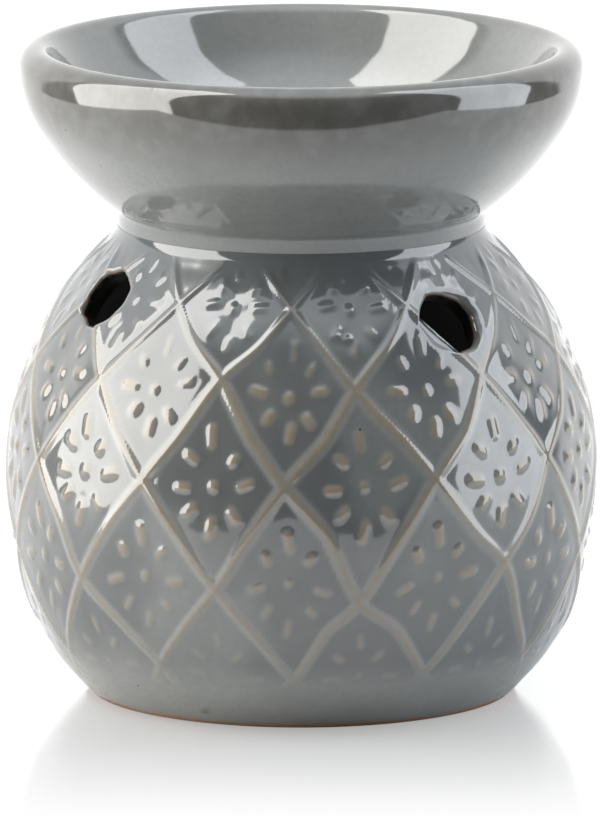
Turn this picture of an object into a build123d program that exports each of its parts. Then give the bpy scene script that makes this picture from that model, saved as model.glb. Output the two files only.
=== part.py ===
from build123d import *
import math
import os

# Essential oil burner: a glazed stoneware globe with a shallow oil bowl luted onto its neck.
# Four vents pierce the shoulder, a doorway opens at the back, and a tea light stands on the floor.
# Millimetres. +Z is up, the origin is the middle of the foot on the table,
# the plain front faces -Y and the doorway faces +Y.

# Globe
BODY_DIAMETER = 100.0
EQUATOR_HEIGHT = 37.5
SHOULDER_ARC = 54.3
BELLY_ARC = 68.0
HEEL_HEIGHT = 14.5
BODY_WALL = 4.0

# Foot and floor
FOOT_DIAMETER = 70.0
FOOT_RING_WIDTH = 5.0
FOOT_RECESS = 1.5
FLOOR_THICKNESS = 4.5
FLOOR_FILLET = 4.0

# Vents in the shoulder, by how far their middle lies below the seam with the bowl
VENT_DIAMETER = 12.0
VENT_DROP = 10.3
VENT_AZIMUTHS = (-130, -50, 50, 130)

# Doorway at the back, measured up from the floor
DOOR_WIDTH = 46.0
DOOR_HEIGHT = 44.0

# Waist, where the bowl is luted on
WAIST_DIAMETER = 62.9
WAIST_FILLET = 3.0
WAIST_BAND = 1.4

# Oil bowl
BOWL_DIAMETER = 94.9
BOWL_SIDE_ARC = 19.5
BOWL_SIDE_TURN = 32
BOWL_FLANK_ARC = 50.0
LIP_OUTER_RADIUS = 3.2
LIP_INNER_RADIUS = 2.0
DISH_SLOPE = 60
DISH_WALL_HEIGHT = 5.8
BOWL_FLOOR_THICKNESS = 4.5
CEILING_RISE = 3.7
CEILING_FILLET = 2.0

# Tea light
CUP_BASE_DIAMETER = 36.4
CUP_MOUTH_DIAMETER = 37.2
CUP_HEIGHT = 16.0
CUP_SHEET = 0.3
CUP_BASE_FILLET = 1.5
CUP_RIM_WIDTH = 0.6
WAX_HEIGHT = 12.5
WAX_DISH = 0.6
WAX_CLEARANCE = 0.1
WICK_DIAMETER = 1.8
WICK_PROUD = 8.0
WICK_CLEARANCE = 0.05
WICK_TIP_CHAMFER = 0.4
SUSTAINER_DIAMETER = 16.0
SUSTAINER_SHEET = 0.3
SUSTAINER_NECK_HEIGHT = 4.0

# How far every cut runs past the faces that it opens
CUT_OVERRUN = 3.0

# Sizes that follow from those above
BODY_RADIUS = BODY_DIAMETER / 2
WAIST_RADIUS = WAIST_DIAMETER / 2
BOWL_RADIUS = BOWL_DIAMETER / 2
FLOOR_HEIGHT = FOOT_RECESS + FLOOR_THICKNESS


def leg(hypotenuse, other_leg):
    """Length of the second leg of a right triangle."""
    return math.sqrt(hypotenuse**2 - other_leg**2)


def towards(center, point, distance):
    """Point at a distance from center, on the ray through another point."""
    return center + (point - center).normalized() * distance


def arc(center, start, end):
    """Edge of the circle about center from start to end, the short way round."""
    halfway = (start - center).normalized() + (end - center).normalized()
    middle = center + halfway.normalized() * (start - center).length
    return ThreePointArc(start, middle, end)


def outline(*points):
    """Straight edges through the points in turn."""
    return [Line(start, end) for start, end in zip(points, points[1:])]


def turned(edges):
    """Solid of revolution about +Z of a closed profile drawn as (radius, height)."""
    return revolve(Plane.XZ * Face(Wire(edges)), Axis.Z)


def blend_center(center, start, end):
    """Centre of the arc that leaves a circle about center smoothly at start and runs to end."""
    outward = (start - center).normalized()
    chord = start - end
    return start - outward * (chord.dot(chord) / (2 * chord.dot(outward)))


# Centres of the profile's arcs, as (radius, height)
BELLY_CENTER = Vector(BODY_RADIUS - BELLY_ARC, EQUATOR_HEIGHT)
SHOULDER_CENTER = Vector(BODY_RADIUS - SHOULDER_ARC, EQUATOR_HEIGHT)
FOOT_EDGE = Vector(FOOT_DIAMETER / 2, 0)
HEEL_TOP = Vector(BELLY_CENTER.X + leg(BELLY_ARC, EQUATOR_HEIGHT - HEEL_HEIGHT), HEEL_HEIGHT)
HEEL_CENTER = blend_center(BELLY_CENTER, HEEL_TOP, FOOT_EDGE)

# The neck's fillet touches the shoulder and ends upright at the seam with the bowl
NECK_FILLET_REACH = WAIST_RADIUS + WAIST_FILLET
SEAM_HEIGHT = EQUATOR_HEIGHT + leg(
    SHOULDER_ARC + WAIST_FILLET, NECK_FILLET_REACH - SHOULDER_CENTER.X
)
NECK_FILLET_CENTER = Vector(NECK_FILLET_REACH, SEAM_HEIGHT)
VENT_HEIGHT = SEAM_HEIGHT - VENT_DROP

# The bowl's fillet starts a short band above the seam and touches the flank
BOWL_FILLET_CENTER = NECK_FILLET_CENTER + Vector(0, WAIST_BAND)
SIDE_RAY = Vector(math.cos(math.radians(BOWL_SIDE_TURN)), -math.sin(math.radians(BOWL_SIDE_TURN)))
FLANK_CENTER_RADIUS = BOWL_RADIUS - BOWL_SIDE_ARC - (BOWL_FLANK_ARC - BOWL_SIDE_ARC) * SIDE_RAY.X
FLANK_CENTER = Vector(
    FLANK_CENTER_RADIUS,
    BOWL_FILLET_CENTER.Y
    + leg(BOWL_FLANK_ARC + WAIST_FILLET, BOWL_FILLET_CENTER.X - FLANK_CENTER_RADIUS),
)
SIDE_CENTER = FLANK_CENTER + SIDE_RAY * (BOWL_FLANK_ARC - BOWL_SIDE_ARC)
LIP_TOP = SIDE_CENTER.Y + LIP_OUTER_RADIUS
CEILING = SEAM_HEIGHT + CEILING_RISE
BOWL_FLOOR = CEILING + BOWL_FLOOR_THICKNESS


def floor_fillet(wall_center, wall_radius, floor, radius):
    """Fillet between a floor and the wall above it: its centre, floor point and wall point."""
    height = floor + radius
    reach = wall_radius - radius
    center = Vector(wall_center.X + leg(reach, wall_center.Y - height), height)
    return center, Vector(center.X, floor), towards(wall_center, center, wall_radius)


def vent_cut(azimuth):
    """Punch through the shoulder, square to its outer face."""
    rise = VENT_HEIGHT - EQUATOR_HEIGHT
    mouth = Vector(SHOULDER_CENTER.X + leg(SHOULDER_ARC, rise), VENT_HEIGHT)
    outward = (mouth - SHOULDER_CENTER).normalized()
    middle = mouth - outward * (BODY_WALL / 2)
    punch = Cylinder(VENT_DIAMETER / 2, BODY_WALL + 2 * CUT_OVERRUN)
    seat = Plane(origin=(0, -middle.X, middle.Y), x_dir=(1, 0, 0), z_dir=(0, -outward.X, outward.Y))
    return Rot(0, 0, azimuth) * (seat * punch)


def door_cut():
    """Arched doorway from the middle of the chamber out through the back wall."""
    half = DOOR_WIDTH / 2
    spring = FLOOR_HEIGHT + DOOR_HEIGHT - half
    left_sill = Vector(-half, FLOOR_HEIGHT)
    right_sill = Vector(half, FLOOR_HEIGHT)
    left_spring = Vector(-half, spring)
    right_spring = Vector(half, spring)
    edges = outline(left_spring, left_sill, right_sill, right_spring)
    edges.append(ThreePointArc(right_spring, Vector(0, spring + half), left_spring))
    arch = Plane.XZ * Face(Wire(edges))
    return extrude(arch, amount=BODY_RADIUS + CUT_OVERRUN, dir=(0, 1, 0))


def burner_body():
    """Hollow globe on its foot ring, open at the neck, with its vents and doorway."""
    equator = Vector(BODY_RADIUS, EQUATOR_HEIGHT)
    shoulder_top = towards(SHOULDER_CENTER, NECK_FILLET_CENTER, SHOULDER_ARC)
    neck = Vector(WAIST_RADIUS, SEAM_HEIGHT)
    inner_neck = Vector(WAIST_RADIUS - BODY_WALL, SEAM_HEIGHT)
    inner_shoulder_top = towards(SHOULDER_CENTER, NECK_FILLET_CENTER, SHOULDER_ARC - BODY_WALL)
    inner_equator = Vector(BODY_RADIUS - BODY_WALL, EQUATOR_HEIGHT)
    fillet_center, fillet_foot, fillet_top = floor_fillet(
        BELLY_CENTER, BELLY_ARC - BODY_WALL, FLOOR_HEIGHT, FLOOR_FILLET
    )
    recess_edge = FOOT_DIAMETER / 2 - FOOT_RING_WIDTH
    edges = [
        arc(HEEL_CENTER, FOOT_EDGE, HEEL_TOP),
        arc(BELLY_CENTER, HEEL_TOP, equator),
        arc(SHOULDER_CENTER, equator, shoulder_top),
        arc(NECK_FILLET_CENTER, shoulder_top, neck),
        Line(neck, inner_neck),
        arc(NECK_FILLET_CENTER, inner_neck, inner_shoulder_top),
        arc(SHOULDER_CENTER, inner_shoulder_top, inner_equator),
        arc(BELLY_CENTER, inner_equator, fillet_top),
        arc(fillet_center, fillet_top, fillet_foot),
    ]
    edges += outline(
        fillet_foot,
        Vector(0, FLOOR_HEIGHT),
        Vector(0, FOOT_RECESS),
        Vector(recess_edge, FOOT_RECESS),
        Vector(recess_edge, 0),
        FOOT_EDGE,
    )
    shell = turned(edges)
    cuts = [vent_cut(azimuth) for azimuth in VENT_AZIMUTHS]
    return shell - cuts - door_cut()


def oil_bowl():
    """Shallow dish with a rounded lip, on the short neck that closes the chamber."""
    neck = Vector(WAIST_RADIUS, SEAM_HEIGHT)
    band_top = neck + Vector(0, WAIST_BAND)
    flank_foot = towards(FLANK_CENTER, BOWL_FILLET_CENTER, BOWL_FLANK_ARC)
    side_foot = SIDE_CENTER + SIDE_RAY * BOWL_SIDE_ARC
    widest = SIDE_CENTER + Vector(BOWL_SIDE_ARC, 0)
    lip_center = widest - Vector(LIP_OUTER_RADIUS, 0)
    crest = Vector(lip_center.X, LIP_TOP)
    inner_lip_center = crest - Vector(0, LIP_INNER_RADIUS)
    slope = math.radians(DISH_SLOPE)
    square_on = Vector(-math.sin(slope), math.cos(slope))
    inner_lip = inner_lip_center + square_on * LIP_INNER_RADIUS
    wall_foot = inner_lip - Vector(DISH_WALL_HEIGHT / math.tan(slope), DISH_WALL_HEIGHT)
    dish_arc = (wall_foot.Y - BOWL_FLOOR) / (1 - math.cos(slope))
    dish_center = wall_foot + square_on * dish_arc
    floor_edge = Vector(dish_center.X, BOWL_FLOOR)
    bore = WAIST_RADIUS - BODY_WALL
    ceiling_edge = Vector(bore - CEILING_FILLET, CEILING)
    bore_top = Vector(bore, CEILING - CEILING_FILLET)
    edges = [
        Line(neck, band_top),
        arc(BOWL_FILLET_CENTER, band_top, flank_foot),
        arc(FLANK_CENTER, flank_foot, side_foot),
        arc(SIDE_CENTER, side_foot, widest),
        arc(lip_center, widest, crest),
        arc(inner_lip_center, crest, inner_lip),
        Line(inner_lip, wall_foot),
        arc(dish_center, wall_foot, floor_edge),
    ]
    edges += outline(floor_edge, Vector(0, BOWL_FLOOR), Vector(0, CEILING), ceiling_edge)
    edges.append(arc(Vector(ceiling_edge.X, bore_top.Y), ceiling_edge, bore_top))
    edges += outline(bore_top, Vector(bore, SEAM_HEIGHT), neck)
    return turned(edges)


def cup_radius(height):
    """Outer radius of the tapered cup wall at a height above the cup's base."""
    taper = (CUP_MOUTH_DIAMETER - CUP_BASE_DIAMETER) / 2 / CUP_HEIGHT
    return CUP_BASE_DIAMETER / 2 + taper * height


def tealight_cup():
    """Pressed aluminium cup with a slight taper and a turned-out rim."""
    rim_foot = CUP_HEIGHT - CUP_SHEET
    outer_foot = cup_radius(CUP_BASE_FILLET)
    base_edge = outer_foot - CUP_BASE_FILLET
    inner_fillet = CUP_BASE_FILLET - CUP_SHEET
    fillet_center = Vector(base_edge, CUP_BASE_FILLET)
    edges = [arc(fillet_center, Vector(base_edge, 0), Vector(outer_foot, CUP_BASE_FILLET))]
    edges += outline(
        Vector(outer_foot, CUP_BASE_FILLET),
        Vector(cup_radius(rim_foot), rim_foot),
        Vector(cup_radius(rim_foot) + CUP_RIM_WIDTH, rim_foot),
        Vector(cup_radius(CUP_HEIGHT) + CUP_RIM_WIDTH, CUP_HEIGHT),
        Vector(cup_radius(CUP_HEIGHT) - CUP_SHEET, CUP_HEIGHT),
        Vector(outer_foot - CUP_SHEET, CUP_BASE_FILLET),
    )
    inner_base = Vector(outer_foot - CUP_SHEET - inner_fillet, CUP_SHEET)
    edges.append(arc(fillet_center, Vector(outer_foot - CUP_SHEET, CUP_BASE_FILLET), inner_base))
    edges += outline(inner_base, Vector(0, CUP_SHEET), Vector(0, 0), Vector(base_edge, 0))
    return on_floor(turned(edges))


def on_floor(piece):
    """Place a tea light piece, made from the cup's base up, on the chamber floor."""
    return Pos(0, 0, FLOOR_HEIGHT) * piece


def wick_sustainer():
    """Round tab with a crimped neck that stands the wick on the cup's floor."""
    bore = WICK_DIAMETER / 2 + WICK_CLEARANCE
    neck = bore + SUSTAINER_SHEET
    tab_top = CUP_SHEET + SUSTAINER_SHEET
    neck_top = CUP_SHEET + SUSTAINER_NECK_HEIGHT
    edges = outline(
        Vector(bore, CUP_SHEET),
        Vector(SUSTAINER_DIAMETER / 2, CUP_SHEET),
        Vector(SUSTAINER_DIAMETER / 2, tab_top),
        Vector(neck, tab_top),
        Vector(neck, neck_top),
        Vector(bore, neck_top),
        Vector(bore, CUP_SHEET),
    )
    return on_floor(turned(edges))


def tealight_wax():
    """Wax filling, dished on top, with room below for the wick's tab and neck."""
    top = CUP_SHEET + WAX_HEIGHT
    bore = WICK_DIAMETER / 2 + WICK_CLEARANCE
    neck = bore + SUSTAINER_SHEET + WAX_CLEARANCE
    neck_top = CUP_SHEET + SUSTAINER_NECK_HEIGHT + WAX_CLEARANCE
    tab = SUSTAINER_DIAMETER / 2 + WAX_CLEARANCE
    tab_top = CUP_SHEET + SUSTAINER_SHEET + WAX_CLEARANCE
    inset = CUP_SHEET + WAX_CLEARANCE
    outer_foot = cup_radius(CUP_BASE_FILLET) - inset
    outer_top = Vector(cup_radius(top) - inset, top)
    base_edge = cup_radius(CUP_BASE_FILLET) - CUP_BASE_FILLET
    fillet_center = Vector(base_edge, CUP_BASE_FILLET)
    fillet_foot = towards(fillet_center, Vector(base_edge, 0), CUP_BASE_FILLET - inset)
    base = Vector(base_edge, CUP_SHEET)
    dish = Vector(bore, top - WAX_DISH)
    sag = (outer_top.X**2 + WAX_DISH**2) / (2 * WAX_DISH)
    edges = [
        Line(base, fillet_foot),
        arc(fillet_center, fillet_foot, Vector(outer_foot, CUP_BASE_FILLET)),
        Line(Vector(outer_foot, CUP_BASE_FILLET), outer_top),
        RadiusArc(outer_top, dish, sag),
    ]
    edges += outline(
        dish,
        Vector(bore, neck_top),
        Vector(neck, neck_top),
        Vector(neck, tab_top),
        Vector(tab, tab_top),
        Vector(tab, CUP_SHEET),
        base,
    )
    return on_floor(turned(edges))


def tealight_wick():
    """Waxed cotton wick from the cup's floor to above the wax, with a blunt tip."""
    top = CUP_SHEET + WAX_HEIGHT + WICK_PROUD
    radius = WICK_DIAMETER / 2
    edges = outline(
        Vector(0, CUP_SHEET),
        Vector(radius, CUP_SHEET),
        Vector(radius, top - WICK_TIP_CHAMFER),
        Vector(radius - WICK_TIP_CHAMFER, top),
        Vector(0, top),
        Vector(0, CUP_SHEET),
    )
    return on_floor(turned(edges))


def main():
    """Write one STEP file for each piece."""
    os.makedirs("parts", exist_ok=True)
    for make in (burner_body, oil_bowl, tealight_cup, tealight_wax, tealight_wick, wick_sustainer):
        export_step(make(), f"parts/{make.__name__}.step")


main()
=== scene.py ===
"""Looks of the essential oil burner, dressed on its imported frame.

Lengths in fields are millimetres, as in the part's source, and become metres where a mesh is made.
An azimuth turns from the front, -Y, towards +X.
"""
import logging
import math
from dataclasses import dataclass
from enum import Enum

import bmesh
import bpy
import numpy as np
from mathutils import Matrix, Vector


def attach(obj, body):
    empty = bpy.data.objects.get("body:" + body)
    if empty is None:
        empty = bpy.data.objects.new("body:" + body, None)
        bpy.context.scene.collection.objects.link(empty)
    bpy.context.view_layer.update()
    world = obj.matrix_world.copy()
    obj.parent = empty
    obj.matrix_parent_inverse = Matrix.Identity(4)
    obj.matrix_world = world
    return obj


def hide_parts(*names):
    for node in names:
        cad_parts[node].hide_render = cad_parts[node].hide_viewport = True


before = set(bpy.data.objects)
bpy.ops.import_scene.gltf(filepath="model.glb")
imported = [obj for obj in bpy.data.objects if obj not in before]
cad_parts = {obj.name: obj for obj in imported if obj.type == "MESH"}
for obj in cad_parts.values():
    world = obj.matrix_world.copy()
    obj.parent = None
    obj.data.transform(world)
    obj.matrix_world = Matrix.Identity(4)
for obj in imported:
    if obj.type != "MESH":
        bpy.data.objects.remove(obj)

LOG = logging.getLogger("oil_burner")
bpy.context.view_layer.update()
MM = 0.001

Color = tuple[float, float, float]
Array = np.ndarray
Socket = bpy.types.NodeSocket


def leg(hypotenuse: float, other_leg: float) -> float:
    """Length of the second leg of a right triangle."""
    return math.sqrt(hypotenuse**2 - other_leg**2)


def spot(radius: float, height: float) -> Array:
    """Point of a section line, as radius and height."""
    return np.array([radius, height], dtype=float)


def towards(center: Array, through: Array, distance: float) -> Array:
    """Point at a distance from center, on the ray through another point."""
    ray = through - center
    return center + ray * (distance / np.linalg.norm(ray))


def blend_center(center: Array, start: Array, end: Array) -> Array:
    """Centre of the arc that leaves a circle about center smoothly at start and runs to end.

    Args:
        center: Middle of the circle.
        start: Point where the arc leaves the circle.
        end: Last point of the arc.

    Returns:
        The arc's centre.
    """
    outward = (start - center) / np.linalg.norm(start - center)
    chord = start - end
    return start - outward * (chord @ chord / (2 * chord @ outward))


def arc_run(center: Array, start: Array, end: Array, step: float = 0.1) -> Array:
    """Points along the circle about center from start to end, the short way round.

    Args:
        center: Middle of the circle.
        start: First point of the run.
        end: Last point of the run.
        step: Rough distance between points.

    Returns:
        Points as rows of radius and height.
    """
    first = math.atan2(*(start - center)[::-1])
    turn = math.atan2(*(end - center)[::-1]) - first
    turn = (turn + math.pi) % (2 * math.pi) - math.pi
    radius = float(np.linalg.norm(start - center))
    count = max(6, int(abs(turn) * radius / step))
    angles = first + turn * np.linspace(0.0, 1.0, count + 1)
    return center + radius * np.stack([np.cos(angles), np.sin(angles)], axis=1)


def straight_run(start: Array, end: Array, step: float = 0.5) -> Array:
    """Points along the straight line from start to end."""
    count = max(1, int(np.linalg.norm(end - start) / step))
    return start + (end - start) * np.linspace(0.0, 1.0, count + 1)[:, None]


def softened(run: Array, reach: float, step: float = 0.25) -> Array:
    """A run of points with its bends eased over a reach to either side, and its ends kept.

    Args:
        run: Points as rows.
        reach: How far along the run a bend is eased to either side of it.
        step: Distance between the points of the result.

    Returns:
        The eased points as rows.
    """
    marks = np.append(0.0, np.cumsum(np.linalg.norm(np.diff(run, axis=0), axis=1)))
    even = np.linspace(0.0, marks[-1], int(marks[-1] / step) + 1)
    points = np.stack([np.interp(even, marks, run[:, axis]) for axis in (0, 1)], axis=1)
    half = int(reach / step)
    before = 2 * points[0] - points[half:0:-1]
    after = 2 * points[-1] - points[-2:-half - 2:-1]
    padded = np.concatenate([before, points, after])
    window = np.hanning(2 * half + 3)[1:-1]
    window /= window.sum()
    return np.stack([np.convolve(padded[:, axis], window, "valid") for axis in (0, 1)], axis=1)


def smooth_step(value: Array, low: float, high: float) -> Array:
    """Eased ramp from 0 at low to 1 at high."""
    ramp = np.clip((value - low) / (high - low), 0.0, 1.0)
    return ramp * ramp * (3 - 2 * ramp)


def full_turn(count: int) -> Array:
    """Azimuths of points spread evenly once round."""
    return np.arange(count) * (2 * math.pi / count)


def shaded(color: Color, share: float) -> Color:
    """A darker tone of a colour."""
    return tuple(share * channel for channel in color)


class SectionLine:
    """A wall's section line, as radius and height, walked with the outside on its right."""

    def __init__(self, *runs: Array) -> None:
        """Join runs of points that follow one another, dropping doubled ones.

        Args:
            runs: Points as rows of radius and height.
        """
        joined = np.concatenate(runs)
        gaps = np.linalg.norm(np.diff(joined, axis=0), axis=1)
        self.points = joined[np.concatenate([[True], gaps > 1e-6])]
        steps = np.linalg.norm(np.diff(self.points, axis=0), axis=1)
        self.marks = np.concatenate([[0.0], np.cumsum(steps)])
        ahead = np.gradient(self.points, self.marks, axis=0)
        ahead /= np.linalg.norm(ahead, axis=1)[:, None]
        self.outward = np.stack([ahead[:, 1], -ahead[:, 0]], axis=1)

    @property
    def length(self) -> float:
        """Length of the whole line."""
        return float(self.marks[-1])

    def sunk(self, depth: Array) -> "SectionLine":
        """The same line moved inwards by a depth at each of its points."""
        return SectionLine(self.points - self.outward * depth[:, None])

    def radius_at(self, mark: Array) -> Array:
        """Radius at distances along the line."""
        return np.interp(mark, self.marks, self.points[:, 0])

    def place(self, azimuth: Array, mark: Array) -> Array:
        """Points of the turned wall at azimuths and distances along the line."""
        return self._turned(self.points, azimuth, mark)

    def facing(self, azimuth: Array, mark: Array) -> Array:
        """Outward directions of the turned wall at azimuths and distances along the line."""
        return self._turned(self.outward, azimuth, mark)

    def _turned(self, rows: Array, azimuth: Array, mark: Array) -> Array:
        """Values of the line, across and up, read at distances along it and turned to azimuths."""
        across, rise = (np.interp(mark, self.marks, rows[:, axis]) for axis in (0, 1))
        return np.stack([across * np.sin(azimuth), -across * np.cos(azimuth), rise], axis=-1)


class MeshDraft:
    """Points, faces and point values of a mesh that is being put together."""

    def __init__(self, **widths: int) -> None:
        """Start an empty draft with the named point values and how many numbers each holds.

        Args:
            widths: How many numbers each point value holds, by its name.
        """
        self.widths = widths
        self.points: list[Array] = []
        self.values: dict[str, list[Array]] = {name: [] for name in widths}
        self.faces: list[tuple[int, ...]] = []
        self.count = 0

    def add(self, points: Array, **values: Array | float) -> Array:
        """Add points with their values.

        Args:
            points: Points as rows, or as a grid of rows.
            values: Point values by name. One that isn't given is zero.

        Returns:
            The points' indices, in the shape the points came in.
        """
        shape = points.shape[:-1]
        flat = points.reshape(-1, 3)
        self.points.append(flat)
        for name, width in self.widths.items():
            given = np.asarray(values.get(name, 0.0), dtype=float)
            target = shape + (width,) if width > 1 else shape
            self.values[name].append(np.broadcast_to(given, target).reshape(len(flat), width))
        ids = np.arange(self.count, self.count + len(flat)).reshape(shape)
        self.count += len(flat)
        return ids

    def stitch(self, first: Array, second: Array) -> None:
        """Join two closed loops of equal count with four-sided faces."""
        rows = zip(first, np.roll(first, -1), np.roll(second, -1), second)
        self.faces.extend(tuple(int(i) for i in row) for row in rows)

    def zipper(
        self, first: Array, first_angle: Array, second: Array, second_angle: Array
    ) -> None:
        """Join two closed loops of any counts with triangles, by their points' angles.

        Args:
            first: Indices of one loop's points.
            first_angle: Their angles, in order round the loop.
            second: Indices of the other loop's points.
            second_angle: Their angles, in order the same way round.
        """
        one, one_angle = self._from_least(first, first_angle)
        two, two_angle = self._from_least(second, second_angle)
        i = j = 0
        while i < len(one) or j < len(two):
            a, b = int(one[i % len(one)]), int(two[j % len(two)])
            if j == len(two) or (i < len(one) and one_angle[i + 1] <= two_angle[j + 1]):
                self.faces.append((a, int(one[(i + 1) % len(one)]), b))
                i += 1
            else:
                self.faces.append((a, int(two[(j + 1) % len(two)]), b))
                j += 1

    @staticmethod
    def _from_least(loop: Array, angle: Array) -> tuple[Array, Array]:
        """A loop started at its least angle, and its angles in order, with the first again a turn later."""
        ahead = np.append(np.sort(angle), np.min(angle) + 2 * math.pi)
        return np.roll(loop, -int(np.argmin(angle))), ahead

    def cap(self, loop: Array, height: float, **values: float) -> None:
        """Close a loop with triangles to a point on the axis.

        Args:
            loop: Indices of the loop's points.
            height: Height of the point on the axis.
            values: Values of that point, by name.
        """
        middle = int(self.add(np.array([[0.0, 0.0, height]]), **values)[0])
        self.faces.extend((int(a), int(b), middle) for a, b in zip(loop, np.roll(loop, -1)))

    def revolve(
        self, line: SectionLine, marks: Array, columns: int, **values: Array | float
    ) -> Array:
        """Turn part of a line once round, and join its rows.

        Args:
            line: Section line.
            marks: Distances along the line, one for each row.
            columns: How many points go round.
            values: Point values by name, one for each row or one for all.

        Returns:
            Indices of the points, a row for each mark.
        """
        azimuth = full_turn(columns)
        places = line.place(*np.broadcast_arrays(azimuth[None, :], marks[:, None]))
        rows = {name: np.reshape(value, (-1, 1)) for name, value in values.items()}
        ids = self.add(places, **rows)
        for low, high in zip(ids, ids[1:]):
            self.stitch(low, high)
        return ids

    def finish(self, name: str) -> bpy.types.Object:
        """Make the object, in metres, with its normals outwards and its values as attributes.

        Args:
            name: Name of the object and of its mesh.

        Returns:
            The object, linked into the scene.
        """
        mesh = bpy.data.meshes.new(name)
        used = np.unique(np.concatenate([np.array(face) for face in self.faces]))
        fresh = np.zeros(self.count, dtype=int)
        fresh[used] = np.arange(len(used))
        points = np.concatenate(self.points)[used] * MM
        mesh.from_pydata(points.tolist(), [], [fresh[list(face)].tolist() for face in self.faces])
        tidy = bmesh.new()
        tidy.from_mesh(mesh)
        bmesh.ops.recalc_face_normals(tidy, faces=tidy.faces)
        tidy.to_mesh(mesh)
        tidy.free()
        for key, width in self.widths.items():
            layer = mesh.attributes.new(key, "FLOAT" if width == 1 else "FLOAT_VECTOR", "POINT")
            data = np.concatenate(self.values[key])[used].ravel()
            layer.data.foreach_set("value" if width == 1 else "vector", data)
        mesh.shade_smooth()
        return shown(name, mesh)


def shown(name: str, data: bpy.types.ID) -> bpy.types.Object:
    """Object with the given data, linked into the scene.

    Args:
        name: Its name.
        data: Its mesh, light or camera.

    Returns:
        The object.
    """
    thing = bpy.data.objects.new(name, data)
    bpy.context.scene.collection.objects.link(thing)
    return thing


@dataclass(frozen=True)
class Opening:
    """A hole through the wall, seen along its axis from outside."""

    middle: Array
    across: Array
    up: Array
    out: Array

    def local(self, points: Array) -> tuple[Array, Array, Array]:
        """Points' places across, up and out of the hole."""
        offset = points - self.middle
        return offset @ self.across, offset @ self.up, offset @ self.out

    def reach(self, angle: Array, grow: float) -> Array:
        """Distance from the axis to the hole's edge in each direction, grown outwards."""
        raise NotImplementedError


@dataclass(frozen=True)
class Vent(Opening):
    """A round vent punched by hand, so its edge wanders a little.

    Its rim is rounded widest in one direction. A web of glaze may close its lower left, as far from
    the axis as the web's own distance.
    """

    radius: float
    seed: int
    wide_way: float
    web: float
    unevenness: float = 0.38
    ripples: int = 12
    least_ripple_share: float = 0.4
    ripple_fade: float = 0.8
    wide_share: float = 0.5
    web_way: float = math.radians(218.0)
    least_slant: float = 0.05

    def reach(self, angle: Array, grow: float) -> Array:
        """Distance from the axis to the hole's edge, as ripples and the rim leave it.

        Args:
            angle: Directions round the axis.
            grow: How far the edge is grown outwards.

        Returns:
            The distance in each direction.
        """
        rng = np.random.default_rng(self.seed)
        swell = np.zeros_like(angle)
        for waves in range(2, self.ripples):
            size = self.unevenness * rng.uniform(self.least_ripple_share, 1.0) / waves**self.ripple_fade
            swell = swell + size * np.sin(waves * angle + rng.uniform(0.0, 2 * math.pi))
        return self.radius + swell + grow * (1 + self.wide_share * np.cos(angle - self.wide_way))

    def closed(self, angle: Array) -> Array:
        """How far the web reaches in from the hole's edge in each direction."""
        slant = np.maximum(np.cos(angle - self.web_way), self.least_slant)
        return np.maximum(self.reach(angle, 0.0) - self.web / slant, 0.0)


@dataclass(frozen=True)
class Doorway(Opening):
    """The arched doorway, seen from behind about the middle of its spring line."""

    half_width: float
    drop: float
    corner_power: float = 14.0

    def reach(self, angle: Array, grow: float) -> Array:
        """Distance from the axis to the hole's edge: a half circle above a box with rounded corners.

        Args:
            angle: Directions round the axis.
            grow: How far the edge is grown outwards.

        Returns:
            The distance in each direction.
        """
        half = self.half_width + max(grow, 0.0)
        side = (np.abs(np.cos(angle)) / half) ** self.corner_power
        sill = (np.abs(np.sin(angle)) / (self.drop + grow)) ** self.corner_power
        boxed = (side + sill) ** (-1 / self.corner_power)
        return np.where(np.sin(angle) >= 0, half, boxed)


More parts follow.
